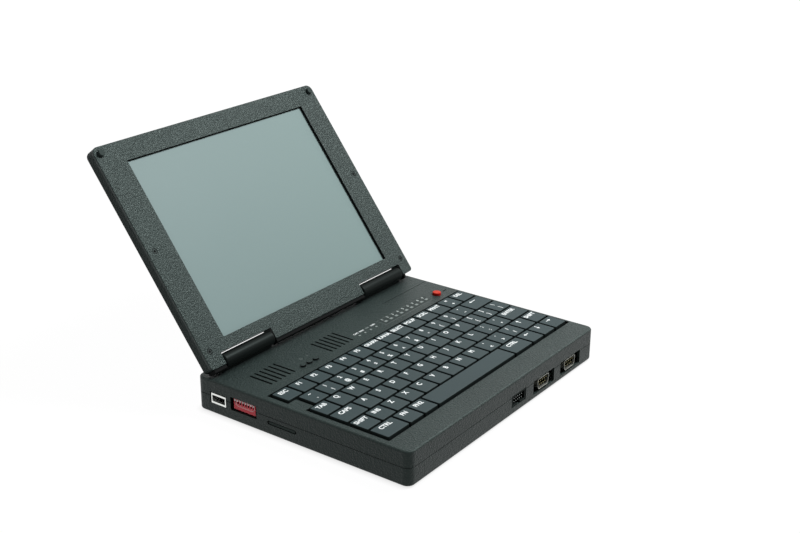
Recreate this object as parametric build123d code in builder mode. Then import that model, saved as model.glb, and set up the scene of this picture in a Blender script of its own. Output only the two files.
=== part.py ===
from build123d import *
import math
import os

# Small laptop computer with its lid open, millimetres.
# X runs to the right, Y to the back and Z up. The origin is under the middle of the base,
# on the surface that the feet stand on.

# Keyboard grid, which sets the size of the base
KEY_PITCH_X = 17.07
KEY_PITCH_Y = 17.45
KEY_COLUMNS = 14
KEY_ROWS = 6
WIDE_KEY = 1.5
SPACE_KEY = 6

# Base case
SIDE_MARGIN_LEFT = 7.0
SIDE_MARGIN_RIGHT = 4.02
PALM_DEPTH = 22.2
REAR_DECK_DEPTH = 65.1
CASE_H = 26.5
LOWER_H = 14.0
WALL = 2.2
FLOOR_T = 2.0
DECK_T = 2.2
CASE_CORNER_R = 6.0
CASE_EDGE_R = 1.6
SEAM_BEVEL = 0.3
FIT = 0.1

BASE_W = KEY_COLUMNS * KEY_PITCH_X + SIDE_MARGIN_LEFT + SIDE_MARGIN_RIGHT
BASE_D = KEY_ROWS * KEY_PITCH_Y + PALM_DEPTH + REAR_DECK_DEPTH
LEFT = -BASE_W / 2
RIGHT = BASE_W / 2
FRONT = -BASE_D / 2
BACK = BASE_D / 2

# Feet
FOOT_PROUD = 1.0
FOOT_SUNK = 0.8
FOOT_R = 5.0
FOOT_INSET_X = 25.0
FOOT_INSET_Y = 12.0

Z_BOTTOM = FOOT_PROUD
Z_FLOOR = Z_BOTTOM + FLOOR_T
Z_SEAM = Z_BOTTOM + LOWER_H
Z_DECK = Z_BOTTOM + CASE_H
Z_CEILING = Z_DECK - DECK_T

# Case screws and the pillars that they join
PILLAR_R = 3.6
PILLAR_INSET_X = 9.0
PILLAR_INSET_Y = 8.0
PILLAR_MID_FRONT_X = -30.0
SCREW_R = 1.15
SCREW_HOLE_R = 1.35
SCREW_HEAD_R = 2.3
SCREW_HEAD_H = 1.4
SCREW_SINK = 1.8
SCREW_BITE = 6.0

# Keys
KEY_PROUD = 1.0
KEY_H = 4.0
KEY_GAP = 0.8
KEY_TAPER = 9.0
KEY_CORNER_R = 1.5
KEY_EDGE_R = 0.35
KEY_TRAVEL = 2.0
KEY_BOTTOM_GAP = 0.5
STEM = 5.0
STEM_FIT = 0.1
STEM_BELOW = 0.6
SPACE_STEM_SPREAD = 68.0

# Keyboard well and the parts under the keys
WELL_SIDE = 1.6
WELL_SIDE_RIGHT = 1.0
WELL_FRONT = 1.6
WELL_BACK = 1.4
WELL_CORNER_R = 0.6
LAND_GAP = 1.6
FRAME_T = 2.5
FRAME_LEDGE_Y = 2.0
FRAME_SIDE_GAP = 0.5
FRAME_RIM_T = 1.4
DOME_R = 3.0
DOME_H = 0.5
DOME_GAP = 0.2
SHEET_T = 0.6
BACKPLATE_T = 1.0

Z_KEY_TOP = Z_DECK + KEY_PROUD
Z_KEY_BOTTOM = Z_KEY_TOP - KEY_H
Z_FRAME_TOP = Z_KEY_BOTTOM - KEY_TRAVEL - KEY_BOTTOM_GAP
Z_FRAME_BOTTOM = Z_FRAME_TOP - FRAME_T
Z_STEM = Z_FRAME_BOTTOM - STEM_BELOW
Z_DOME_TOP = Z_STEM - KEY_TRAVEL - DOME_GAP
Z_SHEET_TOP = Z_DOME_TOP - DOME_H
Z_SHEET_BOTTOM = Z_SHEET_TOP - SHEET_T
Z_BACKPLATE = Z_SHEET_BOTTOM - BACKPLATE_T
KEYS_LEFT = LEFT + SIDE_MARGIN_LEFT
KEYS_RIGHT = RIGHT - SIDE_MARGIN_RIGHT
KEYS_FRONT = FRONT + PALM_DEPTH
KEYS_BACK = BACK - REAR_DECK_DEPTH

# Speaker slots in the deck, and the speakers under them
GRILLE_SLOTS = 6
GRILLE_PITCH = 5.05
GRILLE_SLOT_L = 22.0
GRILLE_SLOT_W = 1.8
GRILLE_BEHIND_KEYS = 21.7
GRILLE_LEFT_X = -90.5
GRILLE_RIGHT_X = -21.5
SPEAKER_R = 15.0
SPEAKER_RIM_T = 2.0
SPEAKER_CUP_R = 10.0
SPEAKER_H = 6.0
CONE_R = 12.5
CONE_DEPTH = 1.2

# Status windows
OVAL_PITCH = 7.3
OVAL_X = -59.8
OVAL_L = 4.8
OVAL_W = 3.1
OVAL_SUNK = 1.2
OVAL_COUNT = 3
LOCK_PITCH = 7.15
LOCK_X = 11.2
LOCK_COUNT = 4
STRIP_PITCH = 7.0
STRIP_X = 62.0
STRIP_COUNT = 9
STRIP_W = 64.0
STRIP_D = 10.5
STRIP_T = 0.4
STRIP_CORNER_R = 0.8
STRIP_SUNK = 0.5
STRIP_WINDOWS_SHIFT = 1.4
WINDOW_L = 3.2
WINDOW_W = 2.0
WINDOW_BEHIND_KEYS = 12.1
STRIP_BEHIND_KEYS = 13.0
LIGHT_PIPE_GAP = 0.3
STATUS_BOARD_DROP = 3.5
STATUS_BOARD_D = 17.0
STATUS_BOARD_END = 6.0
STATUS_POST_R = 2.6
PCB_T = 1.6

Y_GRILLE = KEYS_BACK + GRILLE_BEHIND_KEYS
Y_WINDOWS = KEYS_BACK + WINDOW_BEHIND_KEYS
Y_STRIP = KEYS_BACK + STRIP_BEHIND_KEYS
Z_STATUS_TOP = Z_CEILING - STATUS_BOARD_DROP

# Shallow line across the right of the deck
LINE_FROM_RIGHT = 3.0
LINE_FROM_BACK = 30.0
LINE_L = 60.0
LINE_W = 0.5
LINE_DEPTH = 0.3

# Power button and its switch
BUTTON_X = 105.0
BUTTON_BEHIND_KEYS = 11.1
BUTTON_R = 3.6
BUTTON_LID_GAP = 0.4
BUTTON_EDGE_R = 0.7
BUTTON_CLEAR = 0.3
BUTTON_FLANGE_R = 5.0
BUTTON_FLANGE_T = 0.9
BUTTON_LIFT_GAP = 0.05
BUTTON_TRAVEL = 0.8
SWITCH_W = 6.2
SWITCH_GAP = 0.05
Y_BUTTON = KEYS_BACK + BUTTON_BEHIND_KEYS
Z_BUTTON_BOTTOM = Z_CEILING - BUTTON_LIFT_GAP - BUTTON_FLANGE_T
SWITCH_H = Z_BUTTON_BOTTOM - BUTTON_TRAVEL - SWITCH_GAP - Z_STATUS_TOP

# Front ports: a 2 by 5 box header and two nine-pin ports
PORT_PITCH = 40.0
PORT_1_X = 48.2
PORT_Z = 10.45
PORT_CUT_W = 30.6
PORT_CUT_H = 11.3
PORT_CUT_R = 0.8
D_WIDE = 17.4
D_HIGH = 8.8
D_SLOPE = 10.0
D_CORNER_R = 2.5
D_SKIN = 0.4
D_RECESS = 0.5
D_LENGTH = 5.8
FLANGE_W = 30.8
FLANGE_H = 12.5
FLANGE_T = 0.8
FLANGE_R = 1.0
JACK_SPACING = 25.0
JACK_R = 1.55
D_HOUSING_W = 19.0
D_HOUSING_D = 9.0
D_PIN_PITCH = 2.77
D_ROW_PITCH = 2.84
D_PIN_R = 0.5
D_PIN_SHORT = 0.9
HEADER_X = 12.1
HEADER_Z = 11.4
HEADER_GAP_X = 0.4
HEADER_GAP_Z = 0.35
HEADER_W = 19.2
HEADER_H = 8.9
HEADER_D = 9.4
HEADER_WALL = 1.2
HEADER_CAVITY_D = 6.2
HEADER_KEY_W = 4.5
HEADER_RECESS = 0.3
HEADER_PITCH = 2.54
HEADER_COLUMNS = 5
HEADER_PIN = 0.64
HEADER_PIN_L = 5.4
PORT_BOARD_TOP = 5.5
PORT_BOARD_D = 24.0
PORT_BOARD_END = 4.0

# Left ports: card slot, switch block and USB socket, each by its distance from the back
MAINBOARD_TOP = 9.3
CARD_FROM_BACK = 81.5
CARD_Z = 10.6
CARD_SLOT_L = 27.0
CARD_SLOT_H = 3.0
CARD_SOCKET_W = 28.0
CARD_SOCKET_D = 28.0
CARD_SOCKET_H = 3.1
CARD_MOUTH_W = 24.6
CARD_MOUTH_H = 2.3
DIP_FROM_BACK = 45.8
DIP_CUT_SHIFT = 0.3
DIP_CUT_W = 25.0
DIP_CUT_Z = 14.55
DIP_CUT_H = 10.3
DIP_TOP_GAP = 0.3
DIP_W = 20.6
DIP_H = 8.6
DIP_D = 6.5
DIP_RECESS = 1.1
DIP_WAYS = 8
DIP_PITCH = 2.54
DIP_SLOT_W = 1.5
DIP_SLOT_D = 2.0
DIP_SLOT_RISE = 2.0
LEVER_H = 1.2
LEVER_TRAVEL = 2.0
LEVER_FIT = 0.1
LEVER_PROUD = 0.5
LEVER_FLOOR_GAP = 0.1
USB_FROM_BACK = 21.75
USB_Z = 13.8
USB_CUT_SHIFT = 0.8
USB_CUT_W = 16.2
USB_CUT_H = 8.8
USB_LIP_W = 14.2
USB_LIP_H = 7.9
USB_LIP_T = 0.5
USB_LIP_PROUD = 0.5
USB_W = 13.2
USB_H = 5.9
USB_D = 14.0
USB_SKIN = 0.4
TONGUE_W = 11.4
TONGUE_T = 1.8
TONGUE_SET = 1.2
TONGUE_BACK_T = 1.5

CARD_Y = BACK - CARD_FROM_BACK
DIP_Y = BACK - DIP_FROM_BACK
USB_Y = BACK - USB_FROM_BACK
DIP_SLOT_H = LEVER_H + LEVER_TRAVEL + 2 * LEVER_FIT

# Boards, battery. The mainboard runs from the left wall and has a tab behind the USB socket.
MAINBOARD_FROM_BACK = 30.0
MAINBOARD_D = 88.0
MAINBOARD_W = 136.3
MAINBOARD_TAB_W = 28.3
MAINBOARD_TAB_D = 18.0
BOARD_SIDE_GAP = 0.5
BOARD_POST_R = 2.6
BOARD_POST_INSET = 5.0
CHIP_T = 1.4
BATTERY_FROM_BOARD = 7.0
BATTERY_FROM_RIGHT = 14.0
BATTERY_FROM_FRONT = 40.0
BATTERY_D = 76.0
BATTERY_H = 9.0
BATTERY_R = 4.0

# Chips on the mainboard: from its left edge, from its back edge, width and depth
CHIPS = [(62, 46, 23, 23), (98, 42, 14, 20), (98, 70, 14, 14), (62, 74, 18, 12)]

MAINBOARD_LEFT = LEFT + WALL + BOARD_SIDE_GAP
MAINBOARD_RIGHT = MAINBOARD_LEFT + MAINBOARD_W
MAINBOARD_BACK = BACK - MAINBOARD_FROM_BACK
MAINBOARD_FRONT = MAINBOARD_BACK - MAINBOARD_D
BATTERY_LEFT = MAINBOARD_RIGHT + BATTERY_FROM_BOARD
BATTERY_W = RIGHT - BATTERY_FROM_RIGHT - BATTERY_LEFT

# Hinge axis and lid
LID_OPEN_FROM_BACK = 52.65
HINGE_FROM_BACK = 10.0
HINGE_ABOVE_DECK = 6.95
HINGE_SHIFT_X = 1.2
AXIS_BEHIND_FACE = 4.27
LID_T = 9.55
LID_BELOW_AXIS = 3.2
LID_SIDE_INSET = 1.0
LID_FRONT_INSET = 0.3
LID_CORNER_R = 5.5
LID_LOW_CORNER_R = 3.0
LID_EDGE_R = 0.6
BEZEL_EDGE_R = 0.6
LID_WALL = 2.0
LID_LOW_WALL = 1.4
LID_BACK_T = 1.8
BEZEL_T = 2.3
DISPLAY_SHIFT_X = 0.75
DISPLAY_W = 199.1
DISPLAY_H = 149.4
DISPLAY_ABOVE_AXIS = 15.7
DISPLAY_CORNER_R = 0.6
PANEL_OVERLAP = 2.5
PANEL_T = 2.0
PANEL_FIT = 0.2
DISPLAY_FRAME_T = 1.0
DISPLAY_LEDGE = 2.5

Y_HINGE = BACK - HINGE_FROM_BACK
Z_HINGE = Z_DECK + HINGE_ABOVE_DECK
LID_W = BASE_W - 2 * LID_SIDE_INSET
LID_TOP = Y_HINGE - FRONT - LID_FRONT_INSET
LID_LOW = -LID_BELOW_AXIS
FACE = AXIS_BEHIND_FACE
BEZEL_BACK = FACE - BEZEL_T
LID_REAR = FACE - LID_T
LID_INSIDE = LID_REAR + LID_BACK_T
BUTTON_PROUD = HINGE_ABOVE_DECK - FACE - BUTTON_LID_GAP

# Notches in the lid, and the hinge barrels in them
NOTCH_INNER = 54.8
NOTCH_W = 55.0
NOTCH_ABOVE_AXIS = 6.45
NOTCH_WALL = 1.5
BARREL_R = 5.6
BARREL_GAP_LEFT = 0.4
BARREL_GAP_RIGHT = 1.6
BARREL_END_R = 1.2
PEDESTAL_FRONT = 2.5
PEDESTAL_BACK = 5.0
KNUCKLE_R = 3.0
KNUCKLE_CLEAR = 0.3
KNUCKLE_L = 13.0
KNUCKLE_FROM_NOTCH = 2.8
PIN_R = 1.6
PIN_SHORT = 1.2
PIN_CLEAR = 0.05
PIN_HOLE_CLEAR = 0.3
ARM_W = 8.0
ARM_T = 2.4
ARM_CLEAR = 0.4
BRACKET_FOOT_D = 14.0
BRACKET_FOOT_T = 2.0
BRACKET_SEAT_Z = 10.0
LEAF_L = 30.0
LEAF_T = 1.2
LEAF_H = 7.0
LEAF_BLOCK_L = 10.0
LEAF_BLOCK_H = 3.6
LEAF_SCREW_INSET = 2.6
LEAF_GAP = 0.3

# Lid screws and bumpers
LID_SCREW_INSET = 6.8
LID_SCREW_LOW = 10.4
LID_SCREW_HIGH = 93.9
LID_SCREW_R = 0.9
LID_SCREW_HOLE_R = 1.1
LID_HEAD_R = 1.7
LID_HEAD_H = 0.8
LID_HEAD_SINK = 1.0
LID_BOSS_R = 2.2
LID_SCREW_L = 4.6
BUMPER_INSET = 6.0
BUMPER_BELOW_TOP = 5.9
BUMPER_R = 2.7
BUMPER_SUNK = 0.8
BUMPER_PROUD = 2.45
BUMPER_EDGE_R = 0.5

# Planes of the faces that carry the sketches
FRONT_FACE = Plane(origin=(0, FRONT, 0), x_dir=(1, 0, 0), z_dir=(0, -1, 0))
LEFT_FACE = Plane(origin=(LEFT, 0, 0), x_dir=(0, 1, 0), z_dir=(1, 0, 0))
OPEN = math.radians(LID_OPEN_FROM_BACK)
LID_PLANE = Plane(
    origin=(0, Y_HINGE, Z_HINGE), x_dir=(1, 0, 0), z_dir=(0, -math.sin(OPEN), math.cos(OPEN))
)
LID_AXIS = Axis(LID_PLANE.origin, LID_PLANE.z_dir)


def save(piece, name):
    """Label a finished piece and write it to its own file."""
    piece.part.label = name
    export_step(piece.part, f"parts/{name}.step")


# Places that more than one piece shares
def pillar_spots():
    """Centres of the six case screws."""
    x = RIGHT - PILLAR_INSET_X
    y = BACK - PILLAR_INSET_Y
    return [(-x, -y), (x, -y), (-x, y), (x, y), (PILLAR_MID_FRONT_X, -y), (0, y)]


def foot_spots():
    """Centres of the four feet."""
    x = RIGHT - FOOT_INSET_X
    y = BACK - FOOT_INSET_Y
    return [(-x, -y), (x, -y), (-x, y), (x, y)]


def mainboard_spots():
    """Centres of the mainboard's four screws."""
    left = MAINBOARD_LEFT + BOARD_POST_INSET + CARD_SOCKET_D
    right = MAINBOARD_RIGHT - BOARD_POST_INSET
    front = MAINBOARD_FRONT + BOARD_POST_INSET
    back = MAINBOARD_BACK - BOARD_POST_INSET
    return [(left, front), (right, front), (left, back), (right, back)]


def port_board_ends():
    """Left and right ends of the front port board."""
    left = HEADER_X - HEADER_W / 2 - PORT_BOARD_END
    right = PORT_1_X + PORT_PITCH + FLANGE_W / 2 + PORT_BOARD_END
    return left, right


def port_board_rows():
    """Front and back edges of the front port board."""
    front = FRONT + D_RECESS + D_LENGTH + FLANGE_T + FIT
    return front, front + PORT_BOARD_D


def port_board_spots():
    """Centres of the front port board's three screws."""
    left, right = port_board_ends()
    front, back = port_board_rows()
    y = back - BOARD_POST_INSET
    return [(left + BOARD_POST_INSET, y), ((left + right) / 2, y), (right - BOARD_POST_INSET, y)]


def status_board_ends():
    """Left and right ends of the status board."""
    left = LOCK_X - LOCK_PITCH * (LOCK_COUNT - 1) / 2 - STATUS_BOARD_END
    return left, BUTTON_X + STATUS_BOARD_END


def status_board_y():
    """Middle of the status board, front to back."""
    return Y_WINDOWS + STATUS_BOARD_D / 2 - STATUS_BOARD_END


def status_spots():
    """Centres of the status board's two posts."""
    left = LOCK_X + LOCK_PITCH * LOCK_COUNT / 2
    right = (STRIP_X + STRIP_W / 2 + BUTTON_X - BUTTON_FLANGE_R) / 2
    y = status_board_y() + STATUS_BOARD_D / 2 - STATUS_POST_R - FIT
    return [(left, y), (right, y)]


def hinge_x(side, distance):
    """X of a point this far from the middle between the hinges, -1 for left and 1 for right."""
    return HINGE_SHIFT_X + side * distance


KNUCKLE_START = NOTCH_INNER + KNUCKLE_FROM_NOTCH
ARM_AT = KNUCKLE_START + KNUCKLE_L - ARM_W / 2


def bracket_seat(side):
    """Centre of the seat that a hinge bracket's foot is screwed to."""
    return hinge_x(side, ARM_AT), Y_HINGE + ARM_T / 2 - BRACKET_FOOT_D / 2


# Cuts that both halves of the case share
def cut_ports():
    """Cut the openings of the front and left ports through whichever half is being built."""
    with BuildSketch(FRONT_FACE) as front_cuts:
        with Locations((PORT_1_X, PORT_Z), (PORT_1_X + PORT_PITCH, PORT_Z)):
            RectangleRounded(PORT_CUT_W, PORT_CUT_H, PORT_CUT_R)
        with Locations((HEADER_X, HEADER_Z)):
            Rectangle(HEADER_W + 2 * HEADER_GAP_X, HEADER_H + 2 * HEADER_GAP_Z)
    extrude(front_cuts.sketch, amount=-2 * WALL, mode=Mode.SUBTRACT)
    with BuildSketch(LEFT_FACE) as left_cuts:
        with Locations((CARD_Y, CARD_Z)):
            SlotOverall(CARD_SLOT_L, CARD_SLOT_H)
        with Locations((DIP_Y + DIP_CUT_SHIFT, DIP_CUT_Z)):
            Rectangle(DIP_CUT_W, DIP_CUT_H)
        with Locations((USB_Y + USB_CUT_SHIFT, USB_Z)):
            Rectangle(USB_CUT_W, USB_CUT_H)
    extrude(left_cuts.sketch, amount=2 * WALL, mode=Mode.SUBTRACT)


# Case
def make_bottom_case():
    """Lower half of the base: a tray with screw pillars, board posts and hinge seats."""
    with BuildPart() as bottom_case:
        with BuildSketch(Plane.XY.offset(Z_BOTTOM)):
            RectangleRounded(BASE_W, BASE_D, CASE_CORNER_R)
        extrude(amount=LOWER_H)
        fillet(bottom_case.faces().sort_by(Axis.Z)[0].edges(), CASE_EDGE_R)
        chamfer(bottom_case.faces().sort_by(Axis.Z)[-1].edges(), SEAM_BEVEL)
        with BuildSketch(Plane.XY.offset(Z_FLOOR)):
            RectangleRounded(BASE_W - 2 * WALL, BASE_D - 2 * WALL, CASE_CORNER_R - WALL)
        extrude(amount=LOWER_H, mode=Mode.SUBTRACT)
        with BuildSketch(Plane.XY.offset(Z_FLOOR)):
            with Locations(*pillar_spots()):
                Circle(PILLAR_R)
        extrude(amount=Z_SEAM - Z_FLOOR)
        with BuildSketch(Plane.XY.offset(Z_FLOOR)):
            with Locations(*mainboard_spots()):
                Circle(BOARD_POST_R)
        extrude(amount=MAINBOARD_TOP - PCB_T - Z_FLOOR)
        with BuildSketch(Plane.XY.offset(Z_FLOOR)):
            with Locations(*port_board_spots()):
                Circle(BOARD_POST_R)
        extrude(amount=PORT_BOARD_TOP - PCB_T - Z_FLOOR)
        with BuildSketch(Plane.XY.offset(Z_FLOOR)):
            with Locations(bracket_seat(-1), bracket_seat(1)):
                Rectangle(ARM_W, BRACKET_FOOT_D)
        extrude(amount=BRACKET_SEAT_Z - Z_FLOOR)
        with BuildSketch(Plane.XY.offset(Z_BOTTOM)):
            with Locations(*foot_spots()):
                Circle(FOOT_R + FIT)
        extrude(amount=FOOT_SUNK, mode=Mode.SUBTRACT)
        with BuildSketch(Plane.XY.offset(Z_BOTTOM)):
            with Locations(*pillar_spots()):
                Circle(SCREW_HOLE_R)
        extrude(amount=LOWER_H, mode=Mode.SUBTRACT)
        with BuildSketch(Plane.XY.offset(Z_BOTTOM)):
            with Locations(*pillar_spots()):
                Circle(SCREW_HEAD_R + FIT)
        extrude(amount=SCREW_SINK, mode=Mode.SUBTRACT)
        inner_spots = mainboard_spots() + port_board_spots() + [bracket_seat(-1), bracket_seat(1)]
        with BuildSketch(Plane.XY.offset(Z_FLOOR)):
            with Locations(*inner_spots):
                Circle(SCREW_R + FIT / 2)
        extrude(amount=LOWER_H, mode=Mode.SUBTRACT)
        cut_ports()
    return bottom_case


def keyboard_well():
    """Sketch the opening of the deck that the keys stand in, with the land beside row two."""
    left = KEYS_LEFT - WELL_SIDE
    right = KEYS_RIGHT + WELL_SIDE_RIGHT
    front = KEYS_FRONT - WELL_FRONT
    back = KEYS_BACK + WELL_BACK
    row_two = KEYS_BACK - 2 * KEY_PITCH_Y
    land_right = KEYS_LEFT + (WIDE_KEY - 1) * KEY_PITCH_X - LAND_GAP
    with Locations(((left + right) / 2, (front + back) / 2)):
        Rectangle(right - left, back - front)
    with Locations(((left + land_right) / 2, row_two + KEY_PITCH_Y / 2)):
        Rectangle(land_right - left, KEY_PITCH_Y - WELL_FRONT, mode=Mode.SUBTRACT)


def make_top_case():
    """Upper half of the base: the deck with its openings, walls and screw pillars."""
    with BuildPart() as top_case:
        with BuildSketch(Plane.XY.offset(Z_SEAM)):
            RectangleRounded(BASE_W, BASE_D, CASE_CORNER_R)
        extrude(amount=CASE_H - LOWER_H)
        fillet(top_case.faces().sort_by(Axis.Z)[-1].edges(), CASE_EDGE_R)
        chamfer(top_case.faces().sort_by(Axis.Z)[0].edges(), SEAM_BEVEL)
        with BuildSketch(Plane.XY.offset(Z_SEAM)):
            RectangleRounded(BASE_W - 2 * WALL, BASE_D - 2 * WALL, CASE_CORNER_R - WALL)
        extrude(amount=Z_CEILING - Z_SEAM, mode=Mode.SUBTRACT)
        with BuildSketch(Plane.XY.offset(Z_SEAM)):
            with Locations(*pillar_spots()):
                Circle(PILLAR_R)
        extrude(amount=Z_CEILING - Z_SEAM)
        with BuildSketch(Plane.XY.offset(Z_SEAM)):
            with Locations(*pillar_spots()):
                Circle(SCREW_R + FIT / 2)
        extrude(amount=SCREW_BITE + FIT, mode=Mode.SUBTRACT)
        with BuildSketch(Plane.XY.offset(Z_STATUS_TOP)):
            with Locations(*status_spots()):
                Circle(STATUS_POST_R)
        extrude(amount=STATUS_BOARD_DROP)
        with BuildSketch(Plane.XY.offset(Z_CEILING)) as openings:
            keyboard_well()
            fillet(openings.vertices(), WELL_CORNER_R)
            for x in (GRILLE_LEFT_X, GRILLE_RIGHT_X):
                with Locations((x, Y_GRILLE)):
                    with GridLocations(GRILLE_PITCH, 1, GRILLE_SLOTS, 1):
                        SlotOverall(GRILLE_SLOT_L, GRILLE_SLOT_W, rotation=90)
            with Locations((OVAL_X, Y_WINDOWS)):
                with GridLocations(OVAL_PITCH, 1, OVAL_COUNT, 1):
                    SlotOverall(OVAL_L, OVAL_W)
            with Locations((LOCK_X, Y_WINDOWS)):
                with GridLocations(LOCK_PITCH, 1, LOCK_COUNT, 1):
                    Rectangle(WINDOW_L, WINDOW_W)
            with Locations((STRIP_X + STRIP_WINDOWS_SHIFT, Y_WINDOWS)):
                with GridLocations(STRIP_PITCH, 1, STRIP_COUNT, 1):
                    Rectangle(WINDOW_L, WINDOW_W)
            with Locations((BUTTON_X, Y_BUTTON)):
                Circle(BUTTON_R + BUTTON_CLEAR)
            for side in (-1, 1):
                with Locations((hinge_x(side, ARM_AT), Y_HINGE)):
                    Rectangle(ARM_W + 2 * ARM_CLEAR, ARM_T + 2 * ARM_CLEAR)
        extrude(amount=2 * DECK_T, mode=Mode.SUBTRACT)
        with BuildSketch(Plane.XY.offset(Z_DECK - STRIP_SUNK)):
            with Locations((STRIP_X, Y_STRIP)):
                RectangleRounded(STRIP_W, STRIP_D, STRIP_CORNER_R)
        extrude(amount=DECK_T, mode=Mode.SUBTRACT)
        with BuildSketch(Plane.XY.offset(Z_DECK - LINE_DEPTH)):
            with Locations((RIGHT - LINE_FROM_RIGHT - LINE_L / 2, BACK - LINE_FROM_BACK)):
                Rectangle(LINE_L, LINE_W)
        extrude(amount=DECK_T, mode=Mode.SUBTRACT)
        cut_ports()
    return top_case


def make_rubber_feet():
    """Four round feet, glued in shallow pockets."""
    with BuildPart() as rubber_feet:
        with BuildSketch(Plane.XY):
            with Locations(*foot_spots()):
                Circle(FOOT_R)
        extrude(amount=FOOT_PROUD + FOOT_SUNK)
        fillet(rubber_feet.faces().group_by(Axis.Z)[0].edges(), FOOT_PROUD / 3)
    return rubber_feet


def add_screws(spots, head_z, tip_z, head_up=False):
    """Add screws at these spots, with their heads seated at head_z and tips at tip_z."""
    with BuildSketch(Plane.XY.offset(head_z)) as shanks:
        with Locations(*spots):
            Circle(SCREW_R)
    extrude(shanks.sketch, amount=tip_z - head_z)
    with BuildSketch(Plane.XY.offset(head_z)) as heads:
        with Locations(*spots):
            Circle(SCREW_HEAD_R)
    extrude(heads.sketch, amount=SCREW_HEAD_H if head_up else -SCREW_HEAD_H)


def make_base_screws():
    """Case screws from below, board screws and hinge bracket screws from above."""
    seats = [bracket_seat(-1), bracket_seat(1)]
    with BuildPart() as base_screws:
        add_screws(pillar_spots(), Z_BOTTOM + SCREW_SINK, Z_SEAM + SCREW_BITE)
        add_screws(mainboard_spots(), MAINBOARD_TOP, Z_FLOOR + FIT, head_up=True)
        add_screws(port_board_spots(), PORT_BOARD_TOP, Z_FLOOR + FIT, head_up=True)
        add_screws(seats, BRACKET_SEAT_Z + BRACKET_FOOT_T, Z_FLOOR + FIT, head_up=True)
    return base_screws


# Boards and battery
def make_mainboard():
    """Main circuit board with its larger chips."""
    with BuildPart() as mainboard:
        with BuildSketch(Plane.XY.offset(MAINBOARD_TOP - PCB_T)):
            with Locations((MAINBOARD_LEFT + MAINBOARD_W / 2, MAINBOARD_BACK - MAINBOARD_D / 2)):
                Rectangle(MAINBOARD_W, MAINBOARD_D)
            with Locations((MAINBOARD_LEFT + MAINBOARD_TAB_W / 2, MAINBOARD_BACK)):
                Rectangle(MAINBOARD_TAB_W, 2 * MAINBOARD_TAB_D)
            with Locations(*mainboard_spots()):
                Circle(SCREW_HOLE_R, mode=Mode.SUBTRACT)
        extrude(amount=PCB_T)
        with BuildSketch(Plane.XY.offset(MAINBOARD_TOP)):
            for from_left, from_back, width, depth in CHIPS:
                with Locations((MAINBOARD_LEFT + from_left, MAINBOARD_BACK - from_back)):
                    Rectangle(width, depth)
        extrude(amount=CHIP_T)
    return mainboard


def make_front_port_board():
    """Small board that carries the header and the two nine-pin ports."""
    left, right = port_board_ends()
    front, back = port_board_rows()
    with BuildPart() as front_port_board:
        with BuildSketch(Plane.XY.offset(PORT_BOARD_TOP - PCB_T)):
            with Locations(((left + right) / 2, (front + back) / 2)):
                Rectangle(right - left, back - front)
            with Locations(*port_board_spots()):
                Circle(SCREW_HOLE_R, mode=Mode.SUBTRACT)
        extrude(amount=PCB_T)
    return front_port_board


def make_battery_pack():
    """Flat battery pack, taped to the floor."""
    x = BATTERY_LEFT + BATTERY_W / 2
    y = FRONT + BATTERY_FROM_FRONT + BATTERY_D / 2
    with BuildPart() as battery_pack:
        with BuildSketch(Plane.XY.offset(Z_FLOOR)):
            with Locations((x, y)):
                RectangleRounded(BATTERY_W, BATTERY_D, BATTERY_R)
        extrude(amount=BATTERY_H)
        fillet(battery_pack.faces().sort_by(Axis.Z)[-1].edges(), BATTERY_R / 2)
    return battery_pack


# Left ports
def make_card_socket():
    """Memory card socket behind the slot in the left wall."""
    with BuildPart() as card_socket:
        with BuildSketch(LEFT_FACE.offset(WALL + FIT)):
            with Locations((CARD_Y, MAINBOARD_TOP + CARD_SOCKET_H / 2)):
                Rectangle(CARD_SOCKET_W, CARD_SOCKET_H)
        extrude(amount=CARD_SOCKET_D)
        with BuildSketch(LEFT_FACE.offset(WALL + FIT)):
            with Locations((CARD_Y, MAINBOARD_TOP + CARD_SOCKET_H / 2)):
                Rectangle(CARD_MOUTH_W, CARD_MOUTH_H)
        extrude(amount=CARD_SOCKET_D - WALL, mode=Mode.SUBTRACT)
    return card_socket


def dip_slot_z():
    """Middle height of the switch block's lever slots."""
    return DIP_CUT_Z + DIP_CUT_H / 2 - DIP_TOP_GAP - DIP_H / 2 + DIP_SLOT_RISE


def make_dip_body():
    """Housing of the eight-way switch block, with a slot for each lever."""
    z = dip_slot_z() - DIP_SLOT_RISE
    with BuildPart() as dip_body:
        with BuildSketch(LEFT_FACE.offset(DIP_RECESS)):
            with Locations((DIP_Y, z)):
                Rectangle(DIP_W, DIP_H)
        extrude(amount=DIP_D)
        with BuildSketch(LEFT_FACE.offset(DIP_RECESS)):
            with Locations((DIP_Y, dip_slot_z())):
                with GridLocations(DIP_PITCH, 1, DIP_WAYS, 1):
                    Rectangle(DIP_SLOT_W, DIP_SLOT_H)
        extrude(amount=DIP_SLOT_D, mode=Mode.SUBTRACT)
        foot_top = z - DIP_H / 2
        with BuildSketch(LEFT_FACE.offset(WALL + BOARD_SIDE_GAP)):
            with Locations((DIP_Y, (foot_top + MAINBOARD_TOP) / 2)):
                Rectangle(DIP_W, foot_top - MAINBOARD_TOP)
        extrude(amount=DIP_RECESS + DIP_D - WALL - BOARD_SIDE_GAP)
    return dip_body


def make_dip_levers():
    """Eight small levers, all in their upper position."""
    z = dip_slot_z() + DIP_SLOT_H / 2 - LEVER_H / 2 - LEVER_FIT
    depth = DIP_SLOT_D - LEVER_FLOOR_GAP
    with BuildPart() as dip_levers:
        with BuildSketch(LEFT_FACE.offset(DIP_RECESS - LEVER_PROUD)):
            with Locations((DIP_Y, z)):
                with GridLocations(DIP_PITCH, 1, DIP_WAYS, 1):
                    Rectangle(DIP_SLOT_W - 2 * LEVER_FIT, LEVER_H)
        extrude(amount=depth + LEVER_PROUD)
    return dip_levers


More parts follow.
